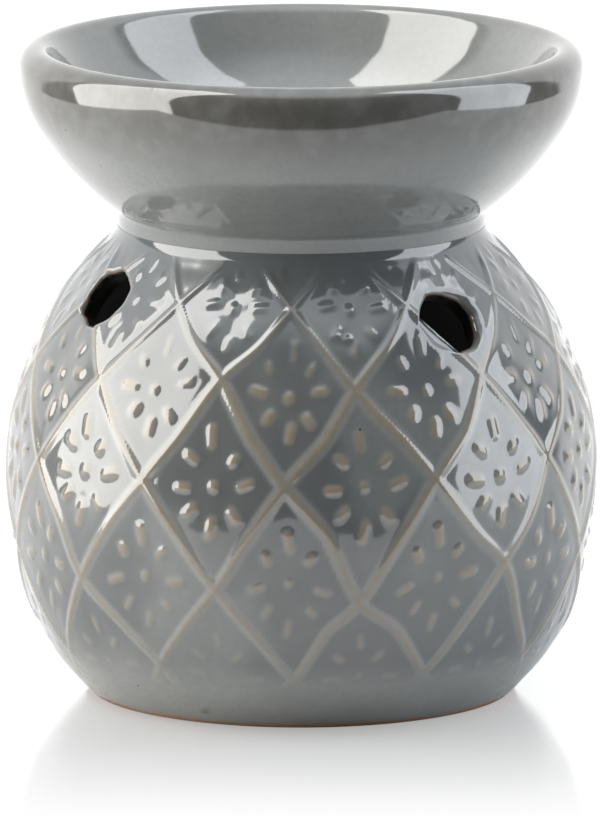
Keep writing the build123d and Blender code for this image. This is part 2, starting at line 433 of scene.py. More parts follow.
class WallGrid:
    """A turned wall as a grid of azimuths and distances, with openings cut cleanly out of it."""

    near_side = -0.6
    spacing_rounds = 40
    settling_rounds = 8
    nudge = 1e-3
    longest_turn = 0.05
    longest_slide = 2.0
    relaxed_rings = 4
    relaxing_rounds = 25

    def __init__(self, line: SectionLine, marks: Array, columns: int) -> None:
        """Lay the grid out evenly.

        Args:
            line: The wall's section line.
            marks: Distance along the line of each row.
            columns: How many points go round.
        """
        self.line = line
        self.azimuth = np.tile(full_turn(columns), (len(marks), 1))
        self.mark = np.tile(marks[:, None], (1, columns))
        self.kept = np.ones((len(marks) - 1, columns), dtype=bool)

    def points(self) -> Array:
        """Where the grid's points lie."""
        return self.line.place(self.azimuth, self.mark)

    def facing(self) -> Array:
        """Outward directions at the grid's points."""
        return self.line.facing(self.azimuth, self.mark)

    def open(self, opening: Opening, grow: float) -> tuple[Array, Array]:
        """Take an opening out of the grid and lay the grid's edge on its outline.

        Args:
            opening: The hole.
            grow: How far the outline lies outside the hole's own.

        Returns:
            Row and column of the edge's points, in order round the hole.
        """
        across, up, out = opening.local(self.points())
        angle = np.arctan2(up, across)
        ratio = np.hypot(across, up) / opening.reach(angle, grow)
        ratio = np.where(out > self.near_side * np.abs(opening.middle).max(), ratio, np.inf)
        corners = ratio[:-1] + ratio[1:]
        inside = (corners + np.roll(corners, -1, axis=1)) / 4 < 1.0
        self.kept &= ~inside
        rows, cols = self._edge_of(inside)
        turn = np.unwrap(angle[rows, cols])
        if turn[-1] < turn[0]:
            rows, cols, turn = rows[::-1], cols[::-1], turn[::-1]
        for _ in range(self.spacing_rounds):
            before = np.append(turn[-1] - 2 * math.pi, turn[:-1])
            after = np.append(turn[1:], turn[0] + 2 * math.pi)
            turn = turn / 2 + (before + after) / 4
        self._settle(rows, cols, opening, turn, opening.reach(turn, grow))
        self._relax(rows, cols)
        return rows, cols

    def _edge_of(self, inside: Array) -> tuple[Array, Array]:
        """Grid points on the edge of a patch of faces, in order.

        Args:
            inside: Which faces of the grid are in the patch.

        Returns:
            Row and column of each point.
        """
        columns = inside.shape[1]
        links: dict[tuple[int, int], list[tuple[int, int]]] = {}
        for i, j in zip(*np.nonzero(inside)):
            k = (j + 1) % columns
            sides = (
                (inside[i, (j - 1) % columns], (i, j), (i + 1, j)),
                (inside[i, k], (i, k), (i + 1, k)),
                (inside[i - 1, j], (i, j), (i, k)),
                (inside[i + 1, j], (i + 1, j), (i + 1, k)),
            )
            for shared, a, b in sides:
                if not shared:
                    links.setdefault((int(a[0]), int(a[1])), []).append((int(b[0]), int(b[1])))
                    links.setdefault((int(b[0]), int(b[1])), []).append((int(a[0]), int(a[1])))
        start = min(links)
        walk = [start]
        here, last = links[start][0], start
        while here != start:
            walk.append(here)
            ahead = [step for step in links[here] if step != last]
            here, last = ahead[0], here
        return np.array([w[0] for w in walk]), np.array([w[1] for w in walk])

    def _settle(
        self, rows: Array, cols: Array, opening: Opening, turn: Array, reach: Array
    ) -> None:
        """Slide edge points along the wall until each lies on the outline at its angle.

        Args:
            rows: Rows of the edge's points.
            cols: Columns of the edge's points.
            opening: The hole.
            turn: Angle of each point round the hole.
            reach: Distance of the outline from the hole's axis at each angle.
        """
        azimuth, mark = self.azimuth[rows, cols], self.mark[rows, cols]
        goal = np.stack([reach * np.cos(turn), reach * np.sin(turn)], axis=1)
        for _ in range(self.settling_rounds):
            here = self._seen(opening, azimuth, mark)
            by_turn = self._seen(opening, azimuth + self.nudge, mark)
            by_mark = self._seen(opening, azimuth, mark + self.nudge)
            slopes = np.stack([by_turn - here, by_mark - here], axis=2) / self.nudge
            step = np.linalg.solve(slopes, (goal - here)[:, :, None])[:, :, 0]
            azimuth = azimuth + np.clip(step[:, 0], -self.longest_turn, self.longest_turn)
            mark = mark + np.clip(step[:, 1], -self.longest_slide, self.longest_slide)
        self.azimuth[rows, cols], self.mark[rows, cols] = azimuth, mark

    def _seen(self, opening: Opening, azimuth: Array, mark: Array) -> Array:
        """Places on the wall as seen along a hole's axis, across and up."""
        return np.stack(opening.local(self.line.place(azimuth, mark))[:2], axis=1)

    def _relax(self, rows: Array, cols: Array) -> None:
        """Even out the points near an edge, which stays as it is.

        Args:
            rows: Rows of the edge's points.
            cols: Columns of the edge's points.
        """
        used = np.zeros(self.mark.shape, dtype=bool)
        for shift in (0, 1):
            side = np.roll(self.kept, shift, axis=1)
            used[:-1] |= side
            used[1:] |= side
        edge = np.zeros_like(used)
        edge[rows, cols] = True
        near = edge.copy()
        for _ in range(self.relaxed_rings):
            grown = near | np.roll(near, 1, axis=1) | np.roll(near, -1, axis=1)
            grown[1:] |= near[:-1]
            grown[:-1] |= near[1:]
            near = grown
        loose = near & used & ~edge
        loose[0] = loose[-1] = False
        weight = used.astype(float)
        for _ in range(self.relaxing_rounds):
            for field in (self.azimuth, self.mark):
                total = np.zeros_like(field)
                share = np.zeros_like(field)
                for axis, shift in ((0, 1), (0, -1), (1, 1), (1, -1)):
                    total += np.roll(field * weight, shift, axis=axis)
                    share += np.roll(weight, shift, axis=axis)
                field[loose] = (total / np.maximum(share, 1.0))[loose]


class Graph:
    """Adds nodes to one node tree and wires them up."""

    def __init__(self, tree: bpy.types.NodeTree) -> None:
        """Work on the given tree."""
        self.tree = tree

    def add(self, kind: str, inputs: dict | None = None, **settings: object) -> bpy.types.Node:
        """Add a node.

        Args:
            kind: The node's type name.
            inputs: Sockets to wire in, or plain values, by input name or index.
            settings: The node's own properties.

        Returns:
            The new node.
        """
        node = self.tree.nodes.new(kind)
        for name, value in settings.items():
            setattr(node, name, value)
        self.wire(node, inputs or {})
        return node

    def wire(self, node: bpy.types.Node, inputs: dict) -> None:
        """Wire sockets into a node, or set plain values.

        Args:
            node: The node.
            inputs: Sockets or values by input name or index.
        """
        for key, value in inputs.items():
            if isinstance(value, Socket):
                self.tree.links.new(value, node.inputs[key])
            else:
                node.inputs[key].default_value = value

    def math(self, operation: str, *values: object) -> Socket:
        """Result of a maths node on the given sockets or numbers."""
        return self.add("ShaderNodeMath", dict(enumerate(values)), operation=operation).outputs[0]

    def times(self, first: object, *others: object) -> Socket:
        """Product of sockets and numbers.

        Args:
            first: First factor.
            others: The factors after it.

        Returns:
            The product.
        """
        for other in others:
            first = self.math("MULTIPLY", first, other)
        return first

    def parts(self, vector: Socket) -> list[Socket]:
        """The X, Y and Z of a vector."""
        return list(self.add("ShaderNodeSeparateXYZ", {0: vector}).outputs)

    def ramp(
        self, value: object, low: object, high: object, start: object = 0.0, end: object = 1.0
    ) -> Socket:
        """Eased ramp from start where the value is low to end where it is high."""
        inputs = {"Value": value, "From Min": low, "From Max": high, "To Min": start, "To Max": end}
        return self.add("ShaderNodeMapRange", inputs, interpolation_type="SMOOTHSTEP").outputs["Result"]

    def noise(self, vector: object, scale: float, detail: float = 2.0) -> Socket:
        """Soft noise about a half, at a scale in waves to the metre."""
        inputs = {"Vector": vector, "Scale": scale, "Detail": detail}
        return self.add("ShaderNodeTexNoise", inputs).outputs[0]

    def blend(self, factor: object, *colors: object) -> Socket:
        """Colour between two sockets or plain colours, by a factor."""
        first, second = ((*color, 1.0) if isinstance(color, tuple) else color for color in colors)
        return self.add("ShaderNodeMix", {0: factor, 6: first, 7: second}, data_type="RGBA").outputs[2]

    def mix(self, factor: object, first: Socket, second: Socket) -> Socket:
        """Shader between two, by a factor."""
        return self.add("ShaderNodeMixShader", {0: factor, 1: first, 2: second}).outputs[0]

    def bump(self, height: Socket, strength: float, distance: float) -> Socket:
        """Normals of a surface that a height raises, by up to a distance in metres."""
        inputs = {"Height": height, "Strength": strength, "Distance": distance}
        return self.add("ShaderNodeBump", inputs).outputs[0]

    def place(self, stretch: tuple[float, float, float] | None = None) -> Socket:
        """Places in the object's own frame, stretched if asked, read in a material."""
        place = self.add("ShaderNodeTexCoord").outputs["Object"]
        return self.add("ShaderNodeMapping", {0: place, "Scale": stretch}).outputs[0] if stretch else place

    def value(self, name: str) -> Socket:
        """A mesh's own point value, read in a material."""
        return self.add("ShaderNodeAttribute", attribute_name=name).outputs["Fac"]


class ShapeTree(Graph):
    """A Geometry Nodes tree with named inputs, which makes or reworks one object's mesh."""

    def __init__(self, name: str, kinds: dict[str, str]) -> None:
        """Start the tree.

        Args:
            name: The tree's name.
            kinds: Socket kind of each input, by the input's name.
        """
        super().__init__(bpy.data.node_groups.new(name, "GeometryNodeTree"))
        self.names: dict[str, str] = {}
        for key, kind in kinds.items():
            socket = self.tree.interface.new_socket(key, in_out="INPUT", socket_type="NodeSocket" + kind)
            self.names[key] = socket.identifier
        self.tree.interface.new_socket("Shape", in_out="OUTPUT", socket_type="NodeSocketGeometry")
        self.given = self.add("NodeGroupInput").outputs

    def own(self, name: str, kind: str = "FLOAT") -> Socket:
        """A point value that the mesh brings along."""
        return self.add("GeometryNodeInputNamedAttribute", {"Name": name}, data_type=kind).outputs[0]

    def shape(self, name: str) -> Socket:
        """Geometry of the object that a named input gives."""
        return self.add("GeometryNodeObjectInfo", {"Object": self.given[name]}).outputs["Geometry"]

    def scaled(self, vector: Socket, factor: Socket) -> Socket:
        """A vector times a number."""
        return self.add("ShaderNodeVectorMath", {0: vector, "Scale": factor}, operation="SCALE").outputs[0]

    def hand_out(self, shape: Socket) -> None:
        """Let the tree give a shape, as real faces in the finish that it was given.

        Args:
            shape: The shape.
        """
        real = self.add("GeometryNodeRealizeInstances", {0: shape}).outputs[0]
        dressed = self.add("GeometryNodeSetMaterial", {0: real, "Material": self.given["Finish"]})
        self.add("NodeGroupOutput", {0: dressed.outputs[0]})

    def run(self, piece: bpy.types.Object, values: dict[str, object]) -> None:
        """Run the tree on an object and keep the result as its plain mesh.

        Args:
            piece: Object whose mesh is replaced.
            values: Values of the inputs by name.
        """
        modifier = piece.modifiers.new(self.tree.name, "NODES")
        modifier.node_group = self.tree
        for name, value in values.items():
            modifier[self.names[name]] = value
        piece.update_tag()
        depsgraph = bpy.context.evaluated_depsgraph_get()
        made = bpy.data.meshes.new_from_object(piece.evaluated_get(depsgraph))
        piece.modifiers.remove(modifier)
        plain, piece.data = piece.data, made
        bpy.data.meshes.remove(plain)
        made.name = piece.name


def new_material(name: str) -> tuple[bpy.types.Material, Graph, bpy.types.Node]:
    """Material with an empty shader, its graph and its shader node.

    Args:
        name: The material's name.

    Returns:
        The material, its graph and its shader node.
    """
    material = bpy.data.materials.new(name)
    material.use_nodes = True
    return material, Graph(material.node_tree), material.node_tree.nodes["Principled BSDF"]


@dataclass(frozen=True)
class Glaze:
    """Glossy grey glaze, and the bare clay that it leaves open.

    It runs thin and tan over raised work, pools blue-grey beside it, settles dark in creases and breaks
    brown on sharp edges.
    Darker tones are also painted as shade: the crease tone over the shoulder under the bowl and at the
    joint, the brown edge tone down the bowl's upper flank, and near black in the chamber and the vents'
    bores.
    A fleck is an azimuth, a distance from the axis, a height and a radius.
    """

    body: Color = (0.186, 0.192, 0.184)
    pooled: Color = (0.087, 0.091, 0.093)
    settled: Color = (0.082, 0.091, 0.098)
    # Dark blue-grey of glaze settling in creases, also painted as shade over the shoulder under the bowl
    # and at the joint.
    thin: Color = (0.190, 0.155, 0.108)
    # Brown of glaze breaking thin on edges, also painted as shade down the bowl's upper flank.
    broken: Color = (0.074, 0.071, 0.064)
    clay: Color = (0.29, 0.165, 0.085)
    # Near black, painted as shade in the chamber, under its ceiling and in the vents' bores.
    chamber_shade_tone: Color = (0.016, 0.014, 0.013)
    speck: Color = (0.03, 0.025, 0.02)
    gloss_roughness: float = 0.07
    clay_roughness: float = 0.8
    refraction: float = 1.7
    cloud_waves: float = 34.0
    swell_waves: float = 90.0
    mottle_waves: float = 260.0
    fine_waves: float = 900.0
    grain_waves: float = 1800.0
    specks_to_metre: float = 150.0
    foot_wander: float = 0.0013
    flecks: tuple[tuple[float, float, float, float], ...] = (
        (-87.2, 44.0, 110.05, 0.55), (-73.8, 43.6, 109.9, 0.4), (-65.8, 47.0, 108.0, 0.35),
        (-20.1, 46.6, 109.0, 0.45),
    )

    def material(self) -> bpy.types.Material:
        """Build the material from the mesh's point values, three of which also paint shade: the crease tone
        under the bowl, the brown edge tone on the bowl's flank and near black in the chamber.

        Returns:
            The material.
        """
        material, graph, shader = new_material("grey_glaze")
        place = graph.place()
        mottle = graph.noise(place, self.mottle_waves)
        grain = graph.noise(place, self.grain_waves, 3.0)
        bare = self._bare(graph, place, mottle)
        clay = graph.blend(grain, shaded(self.clay, 0.72), self.clay)
        # Painted shade: bare clay in the chamber and the vents' bores is darkened near black.
        clay = graph.blend(graph.value("smoke"), clay, self.chamber_shade_tone)
        swell = graph.math("ADD", graph.noise(place, self.swell_waves, 1.0), graph.times(mottle, 0.12))
        height = graph.math("ADD", swell, graph.times(grain, bare, 0.5))
        graph.wire(shader, {
            "Base Color": graph.blend(bare, self._glazed(graph, place, mottle), clay),
            "Roughness": graph.ramp(bare, 0.0, 1.0, self.gloss_roughness, self.clay_roughness),
            # The painted shade inside also takes away most of the gloss.
            "Specular IOR Level": graph.ramp(graph.value("smoke"), 0.0, 1.0, 0.5, 0.1),
            "Normal": graph.bump(height, 0.25, 0.0003),
            "IOR": self.refraction,
        })
        return material

    def _glazed(self, graph: Graph, place: Socket, mottle: Socket) -> Socket:
        """Colour of the glaze: clouded, pooled, thin and specked, settling dark and breaking brown, partly
        as painted shade.

        Args:
            graph: Graph to add to.
            place: Places on the piece.
            mottle: Noise that breaks thin glaze into patches.

        Returns:
            The colour.
        """
        cloud = graph.ramp(graph.noise(place, self.cloud_waves, 3.0), 0.38, 0.62)
        depth = graph.times(graph.value("pool"), graph.ramp(cloud, 0.0, 1.0, 0.55, 1.0))
        depth = graph.math("MAXIMUM", depth, graph.times(cloud, 0.3))
        patchy = graph.ramp(mottle, 0.25, 0.65, 0.65, 1.0)
        thinness = graph.times(graph.ramp(graph.value("thin"), 0.05, 1.0), patchy)
        layers = (
            # The crease tone among these is partly painted shade under the bowl and at the joint.
            (depth, self.pooled), (thinness, self.thin), (graph.value("settled"), self.settled),
            # The brown edge tone is partly painted shade on the bowl's flank.
            (graph.times(graph.value("broken"), patchy), self.broken),
            (graph.ramp(graph.noise(place, self.fine_waves, 3.0), 0.3, 0.7, 0.0, 0.16), self.pooled),
            (self._specks(graph, place), self.speck),
        )
        color = self.body
        for factor, tone in layers:
            color = graph.blend(factor, color, tone)
        return color

    def _bare(self, graph: Graph, place: Socket, mottle: Socket) -> Socket:
        """Where no glaze lies: the mesh's own bare value, and an uneven line round the foot.

        Args:
            graph: Graph to add to.
            place: Places on the piece.
            mottle: Noise that makes the line wander.

        Returns:
            The share of bare clay.
        """
        height = graph.parts(place)[2]
        wander = graph.times(mottle, self.foot_wander)
        low = graph.ramp(graph.math("SUBTRACT", height, wander), 0.0002, 0.0005, 1.0, 0.0)
        return graph.math("MAXIMUM", graph.value("bare"), low)

    def _specks(self, graph: Graph, place: Socket) -> Socket:
        """Sparse iron specks and pinholes, and the flecks on the rim.

        Args:
            graph: Graph to add to.
            place: Places on the piece.

        Returns:
            The share of dark speck.
        """
        cells = graph.add("ShaderNodeTexVoronoi", {"Vector": place, "Scale": self.specks_to_metre})
        near = graph.ramp(cells.outputs["Distance"], 0.02, 0.045, 1.0, 0.0)
        pick = graph.add("ShaderNodeSeparateColor", {0: cells.outputs["Color"]}).outputs[0]
        dark = graph.times(near, graph.ramp(pick, 0.80, 0.82))
        for degrees, radius, height, size in self.flecks:
            turn = math.radians(degrees)
            middle = (radius * math.sin(turn) * MM, -radius * math.cos(turn) * MM, height * MM)
            apart = graph.add("ShaderNodeVectorMath", {0: place, 1: middle}, operation="DISTANCE")
            spread = graph.ramp(apart.outputs["Value"], 0.5 * size * MM, size * MM, 1.0, 0.0)
            dark = graph.math("MAXIMUM", dark, spread)
        return dark


@dataclass(frozen=True)
class PressedMetal:
    """Thin bright metal, with the fine grain that rolling and pressing leave."""

    name: str
    color: Color
    roughness: float
    grain_waves: float = 650.0
    grain_stretch: tuple[float, float, float] = (1.0, 1.0, 7.0)

    def material(self) -> bpy.types.Material:
        """Build the material, whose grain runs round the piece.

        Returns:
            The material.
        """
        material, graph, shader = new_material(self.name)
        grain = graph.noise(graph.place(self.grain_stretch), self.grain_waves, 3.0)
        graph.wire(shader, {
            "Base Color": graph.blend(grain, shaded(self.color, 0.86), self.color),
            "Roughness": graph.ramp(grain, 0.3, 0.7, 0.75 * self.roughness, 1.3 * self.roughness),
            "Normal": graph.bump(grain, 0.2, 0.0001),
            "Metallic": 1.0,
        })
        return material


@dataclass(frozen=True)
class Wax:
    """White paraffin wax, a little see-through, with a faintly crystalline skin."""

    color: Color = (0.84, 0.82, 0.77)
    shade: Color = (0.78, 0.755, 0.70)
    roughness: float = 0.38
    see_through: float = 0.35
    light_reach: tuple[float, float, float] = (0.003, 0.0022, 0.0014)
    cloud_waves: float = 180.0
    skin_waves: float = 420.0

    def material(self) -> bpy.types.Material:
        """Build the material.

        Returns:
            The material.
        """
        material, graph, shader = new_material("white_wax")
        place = graph.place()
        cloud = graph.noise(place, self.cloud_waves, 3.0)
        skin = graph.noise(place, self.skin_waves)
        graph.wire(shader, {
            "Base Color": graph.blend(graph.ramp(cloud, 0.35, 0.65), self.shade, self.color),
            "Roughness": graph.ramp(skin, 0.3, 0.7, 0.8 * self.roughness, 1.25 * self.roughness),
            "Normal": graph.bump(cloud, 0.3, 0.0002),
            "Subsurface Weight": self.see_through,
            "Subsurface Radius": self.light_reach,
            "Subsurface Scale": 1.0,
        })
        return material


@dataclass(frozen=True)
class WaxedCotton:
    """Cotton yarn stiffened with wax."""

    color: Color = (0.80, 0.77, 0.70)
    shade: Color = (0.58, 0.55, 0.48)
    roughness: float = 0.7
    fibre_waves: float = 6000.0
    fibre_stretch: tuple[float, float, float] = (1.0, 1.0, 0.25)

    def material(self) -> bpy.types.Material:
        """Build the material, whose fibres run up the yarn.

        Returns:
            The material.
        """
        material, graph, shader = new_material("waxed_cotton")
        fibre = graph.noise(graph.place(self.fibre_stretch), self.fibre_waves)
        graph.wire(shader, {
            "Base Color": graph.blend(graph.ramp(fibre, 0.3, 0.7), self.shade, self.color),
            "Normal": graph.bump(fibre, 0.5, 0.0001),
            "Roughness": self.roughness,
        })
        return material


@dataclass(frozen=True)
class GlobeSizes:
    """Sizes of the globe, in millimetres, equal to the part's.

    Only the joint below the bowl is drawn in a little more tightly than the part's waist.
    """

    body_radius: float = 50.0
    equator: float = 37.5
    shoulder_arc: float = 54.3
    belly_arc: float = 68.0
    heel_height: float = 14.5
    wall: float = 4.0
    foot_radius: float = 35.0
    foot_ring: float = 5.0
    foot_recess: float = 1.5
    floor_height: float = 6.0
    floor_fillet: float = 4.0
    waist_radius: float = 31.45
    waist_fillet: float = 3.0
    joint_radius: float = 31.0
    joint_fillet: float = 2.1
    door_half_width: float = 23.0
    door_spring: float = 27.0

    @property
    def belly_center(self) -> Array:
        """Middle of the belly's arc."""
        return spot(self.body_radius - self.belly_arc, self.equator)

    @property
    def shoulder_center(self) -> Array:
        """Middle of the shoulder's arc."""
        return spot(self.body_radius - self.shoulder_arc, self.equator)

    @property
    def neck_center(self) -> Array:
        """Middle of the neck's fillet, level with the seam where the bowl is luted on.

        Returns:
            Radius and height.
        """
        reach = self.waist_radius + self.waist_fillet
        rise = leg(self.shoulder_arc + self.waist_fillet, reach - self.shoulder_center[0])
        return spot(reach, self.equator + rise)

    def outside(self) -> SectionLine:
        """The outer wall, from the foot's edge up to the seam.

        Returns:
            The section line.
        """
        heel_top = spot(
            self.belly_center[0] + leg(self.belly_arc, self.equator - self.heel_height), self.heel_height
        )
        foot_edge = spot(self.foot_radius, 0.0)
        equator = spot(self.body_radius, self.equator)
        joint = spot(self.joint_radius + self.joint_fillet, self.neck_center[1])
        shoulder_top = towards(self.shoulder_center, joint, self.shoulder_arc)
        return SectionLine(
            arc_run(blend_center(self.belly_center, heel_top, foot_edge), foot_edge, heel_top),
            arc_run(self.belly_center, heel_top, equator),
            arc_run(self.shoulder_center, equator, shoulder_top),
            arc_run(joint, shoulder_top, spot(self.joint_radius, joint[1])),
        )

    def chamber(self) -> SectionLine:
        """The chamber's wall, from the seam down to the middle of the floor.

        Returns:
            The section line.
        """
        neck = spot(self.waist_radius - self.wall, self.neck_center[1])
        shoulder_top = towards(self.shoulder_center, self.neck_center, self.shoulder_arc - self.wall)
        equator = spot(self.body_radius - self.wall, self.equator)
        reach = self.belly_arc - self.wall - self.floor_fillet
        height = self.floor_height + self.floor_fillet
        fillet = spot(self.belly_center[0] + leg(reach, self.equator - height), height)
        fillet_top = towards(self.belly_center, fillet, self.belly_arc - self.wall)
        fillet_foot = spot(fillet[0], self.floor_height)
        return SectionLine(
            arc_run(self.neck_center, neck, shoulder_top),
            arc_run(self.shoulder_center, shoulder_top, equator),
            arc_run(self.belly_center, equator, fillet_top),
            arc_run(fillet, fillet_top, fillet_foot),
            straight_run(fillet_foot, spot(0.0, self.floor_height)),
        )


@dataclass(frozen=True)
class Stray:
    """A crossing that the maker's hand has left off its place, across and up the wall."""

    row: int
    column: int
    across: float
    up: float


@dataclass(frozen=True)
class LatticeSizes:
    """The raised lattice and its rosettes, measured along the wall from the foot's edge."""

    columns: int = 12
    first_azimuth: float = 9.5
    first_row: float = 13.4
    row_pitch: float = 17.9
    row_closing: float = 0.42
    rows: int = 5
    relief: float = 0.40
    rib_half_width: float = 1.35
    petal_half_width: float = 1.5
    petal_height: float = 0.40
    hollow: float = 0.34
    wobble: float = 0.9
    seed: float = 4.0
    plain_foot: float = 8.0
    full_foot: float = 17.0
    stray_reach: float = 12.0
    strays: tuple[Stray, ...] = (
        Stray(3, -2, 0.0, 2.1), Stray(3, -1, -0.9, 0.5), Stray(3, 0, -0.5, 1.3), Stray(3, 1, 0.0, 1.9),
        Stray(2, -1, -0.8, 0.3), Stray(2, 0, -0.6, 0.7), Stray(2, 1, -1.0, 1.4),
        Stray(1, -2, -1.5, -1.8), Stray(1, -1, 0.4, -1.0), Stray(1, 0, -0.8, -3.1), Stray(1, 1, 1.0, 1.5),
        Stray(0, -1, 0.4, 1.3), Stray(0, 0, 0.7, -0.4),
    )

    def row_mark(self, row: float | Array) -> float | Array:
        """Distance up the wall of a row of crossings."""
        return self.first_row + self.row_pitch * row - self.row_closing * row * row

    def azimuth(self, steps: float) -> float:
        """Azimuth of a crossing, in half columns from the first."""
        return math.radians(self.first_azimuth) + steps * math.pi / self.columns


class RosettePart(Enum):
    """Marks of one rosette: place across and up, half length, and whether it lies upright."""

    CENTER = (0.0, 0.0, 0.2, 1.0)
    ABOVE = (0.0, 7.4, 1.25, 1.0)
    BELOW = (0.0, -7.4, 1.25, 1.0)
    LEFT = (-5.7, 0.0, 0.85, 0.0)
    RIGHT = (5.9, 0.0, 0.85, 0.0)
    UPPER_LEFT = (-3.8, 4.4, 0.65, 0.5)
    UPPER_RIGHT = (3.8, 4.4, 0.65, 0.5)
    LOWER_LEFT = (-3.8, -4.4, 0.65, 0.5)
    LOWER_RIGHT = (3.8, -4.4, 0.65, 0.5)


class RaisedLattice:
    """Raises ribs and rosettes on the globe's wall with one Geometry Nodes tree."""

    rib_points = 90
    line_points = 240
    petal_seed = 11
    petal_stray = 0.28
    petal_lean = 0.14
    sway_waves = 75.0
    width_waves = 120.0
    hollow_edges = (0.0012, 0.0075)
    meeting_fillet = 0.0002
    petal_thinness = 0.95
    pool_edges = (0.55, 1.4)

    def __init__(self, sizes: LatticeSizes, line: SectionLine) -> None:
        """Keep the sizes and the wall line that the ornament is wrapped on."""
        self.sizes = sizes
        self.line = line

    def rib_stencil(self) -> bpy.types.Object:
        """One column's pair of crossing ribs, unrolled: azimuth across and distance up.

        Returns:
            The stencil.
        """
        rows = np.linspace(-0.5, self.sizes.rows - 0.4, self.rib_points)
        rows = rows[self.sizes.row_mark(rows) < self.line.length - 0.4]
        points, edges = [], []
        for way in (1, -1):
            start = len(points)
            points += [(self.sizes.azimuth(way * row), self.sizes.row_mark(row) * MM, 0.0) for row in rows]
            edges += [(i, i + 1) for i in range(start, len(points) - 1)]
        return self._stencil("rib_stencil", points, edges)

    def petal_stencil(self) -> bpy.types.Object:
        """One column's rosettes, unrolled, each petal a short edge.

        Returns:
            The stencil.
        """
        rng = np.random.default_rng(self.petal_seed)
        points, edges = [], []
        for row in range(self.sizes.rows):
            middle = self.sizes.row_mark(row)
            radius = float(self.line.radius_at(middle))
            squeeze = radius / self.line.points[:, 0].max()
            for part in RosettePart:
                across, up, half_length, upright = part.value
                across = across * squeeze + rng.normal(0.0, self.petal_stray)
                up = up + rng.normal(0.0, self.petal_stray)
                lean = rng.normal(0.0, self.petal_lean)
                if upright == 0.5:
                    lean += math.atan2(up, across)
                elif upright == 1.0:
                    lean += math.pi / 2
                reach = half_length * rng.uniform(0.8, 1.2)
                for end in (-reach, reach):
                    x = self.sizes.azimuth(row + 1) + (across + end * math.cos(lean)) / radius
                    points.append((x, (middle + up + end * math.sin(lean)) * MM, 0.0))
                edges.append((len(points) - 2, len(points) - 1))
        return self._stencil("petal_stencil", points, edges)

    def stray_stencil(self) -> bpy.types.Object:
        """The strayed crossings as points on the wall, each with its shift as azimuth and distance.

        Returns:
            The stencil.
        """
        points, shifts = [], []
        for stray in self.sizes.strays:
            azimuth = self.sizes.azimuth(2 * stray.column + stray.row)
            place = self.line.place(np.array(azimuth), np.array(self.sizes.row_mark(stray.row)))
            points.append((place * MM).tolist())
            shifts += [stray.across / math.hypot(place[0], place[1]), stray.up * MM, 0.0]
        stencil = self._stencil("stray_stencil", points, [])
        layer = stencil.data.attributes.new("shift", "FLOAT_VECTOR", "POINT")
        layer.data.foreach_set("vector", shifts)
        return stencil

    def line_stencil(self) -> bpy.types.Object:
        """The wall's line, as radius across and height up.

        Returns:
            The stencil.
        """
        steps = np.linspace(0.0, self.line.length, self.line_points)
        height = np.interp(steps, self.line.marks, self.line.points[:, 1])
        points = [(r * MM, 0.0, z * MM) for r, z in zip(self.line.radius_at(steps), height)]
        return self._stencil("line_stencil", points, [(i, i + 1) for i in range(len(points) - 1)])

    @staticmethod
    def _stencil(name: str, points: list, edges: list) -> bpy.types.Object:
        """Object of loose points and edges.

        Args:
            name: Its name.
            points: Places of its points.
            edges: Pairs of points.

        Returns:
            The object.
        """
        mesh = bpy.data.meshes.new(name)
        mesh.from_pydata(points, edges, [])
        return shown(name, mesh)

    def tree(self) -> ShapeTree:
        """Build the tree, which lifts the wall and notes where its glaze is thin or pooled.

        Returns:
            The tree.
        """
        tree = ShapeTree("raised_lattice", {
            "Wall": "Geometry", "Ribs": "Object", "Petals": "Object", "Strays": "Object", "Line": "Object",
            "Columns": "Int", "Rib Height": "Float", "Rib Half Width": "Float", "Petal Height": "Float",
            "Petal Half Width": "Float", "Hollow": "Float", "Wobble": "Float", "Stray Reach": "Float",
            "Seed": "Float", "Finish": "Material",
        })
        given = tree.given
        place = tree.add("GeometryNodeInputPosition").outputs[0]
        rib_gap, petal_gap = self._gap(tree, "Ribs"), self._gap(tree, "Petals")
        fullness, rib_room, petal_room = tree.own("fullness"), tree.own("rib_room"), tree.own("petal_room")
        rib_width = tree.times(given["Rib Half Width"], fullness)
        vary = tree.ramp(tree.noise(place, self.width_waves, 1.0), 0.2, 0.8, 0.8, 1.2)
        petal_width = tree.times(given["Petal Half Width"], vary, fullness)
        rib = tree.ramp(rib_gap, 0.0, rib_width, 1.0, 0.0)
        petal = tree.ramp(petal_gap, tree.times(petal_width, 0.08), petal_width, 1.0, 0.0)
        rib_lift = tree.times(rib, given["Rib Height"], rib_room)
        petal_lift = tree.times(petal, given["Petal Height"], petal_room)
        raised = tree.math("SMOOTH_MAX", rib_lift, petal_lift, self.meeting_fillet)
        hollow = tree.times(tree.ramp(rib_gap, *self.hollow_edges, 0.0, given["Hollow"]), rib_room)
        offset = tree.scaled(tree.own("wall_facing", "FLOAT_VECTOR"), tree.math("SUBTRACT", raised, hollow))
        kept = tree.add("GeometryNodeSetPosition", {"Geometry": given["Wall"], "Offset": offset}).outputs[0]
        petal_thin = tree.times(petal, petal_room, self.petal_thinness)
        thin = tree.math("MAXIMUM", tree.times(rib, rib_room), petal_thin)
        pool = tree.ramp(rib_gap, *(tree.times(rib_width, edge) for edge in self.pool_edges))
        pool = tree.times(pool, tree.math("SUBTRACT", rib_room, petal_thin))
        for name, value in (("thin", thin), ("pool", pool)):
            inputs = {"Geometry": kept, "Name": name, "Value": value}
            kept = tree.add("GeometryNodeStoreNamedAttribute", inputs, data_type="FLOAT").outputs[0]
        tree.hand_out(kept)
        return tree

    def _gap(self, tree: ShapeTree, name: str) -> Socket:
        """Distance from each point of the wall to the nearest edge of a wrapped stencil."""
        inputs = {0: self._wrapped(tree, name)}
        return tree.add("GeometryNodeProximity", inputs, target_element="EDGES").outputs["Distance"]

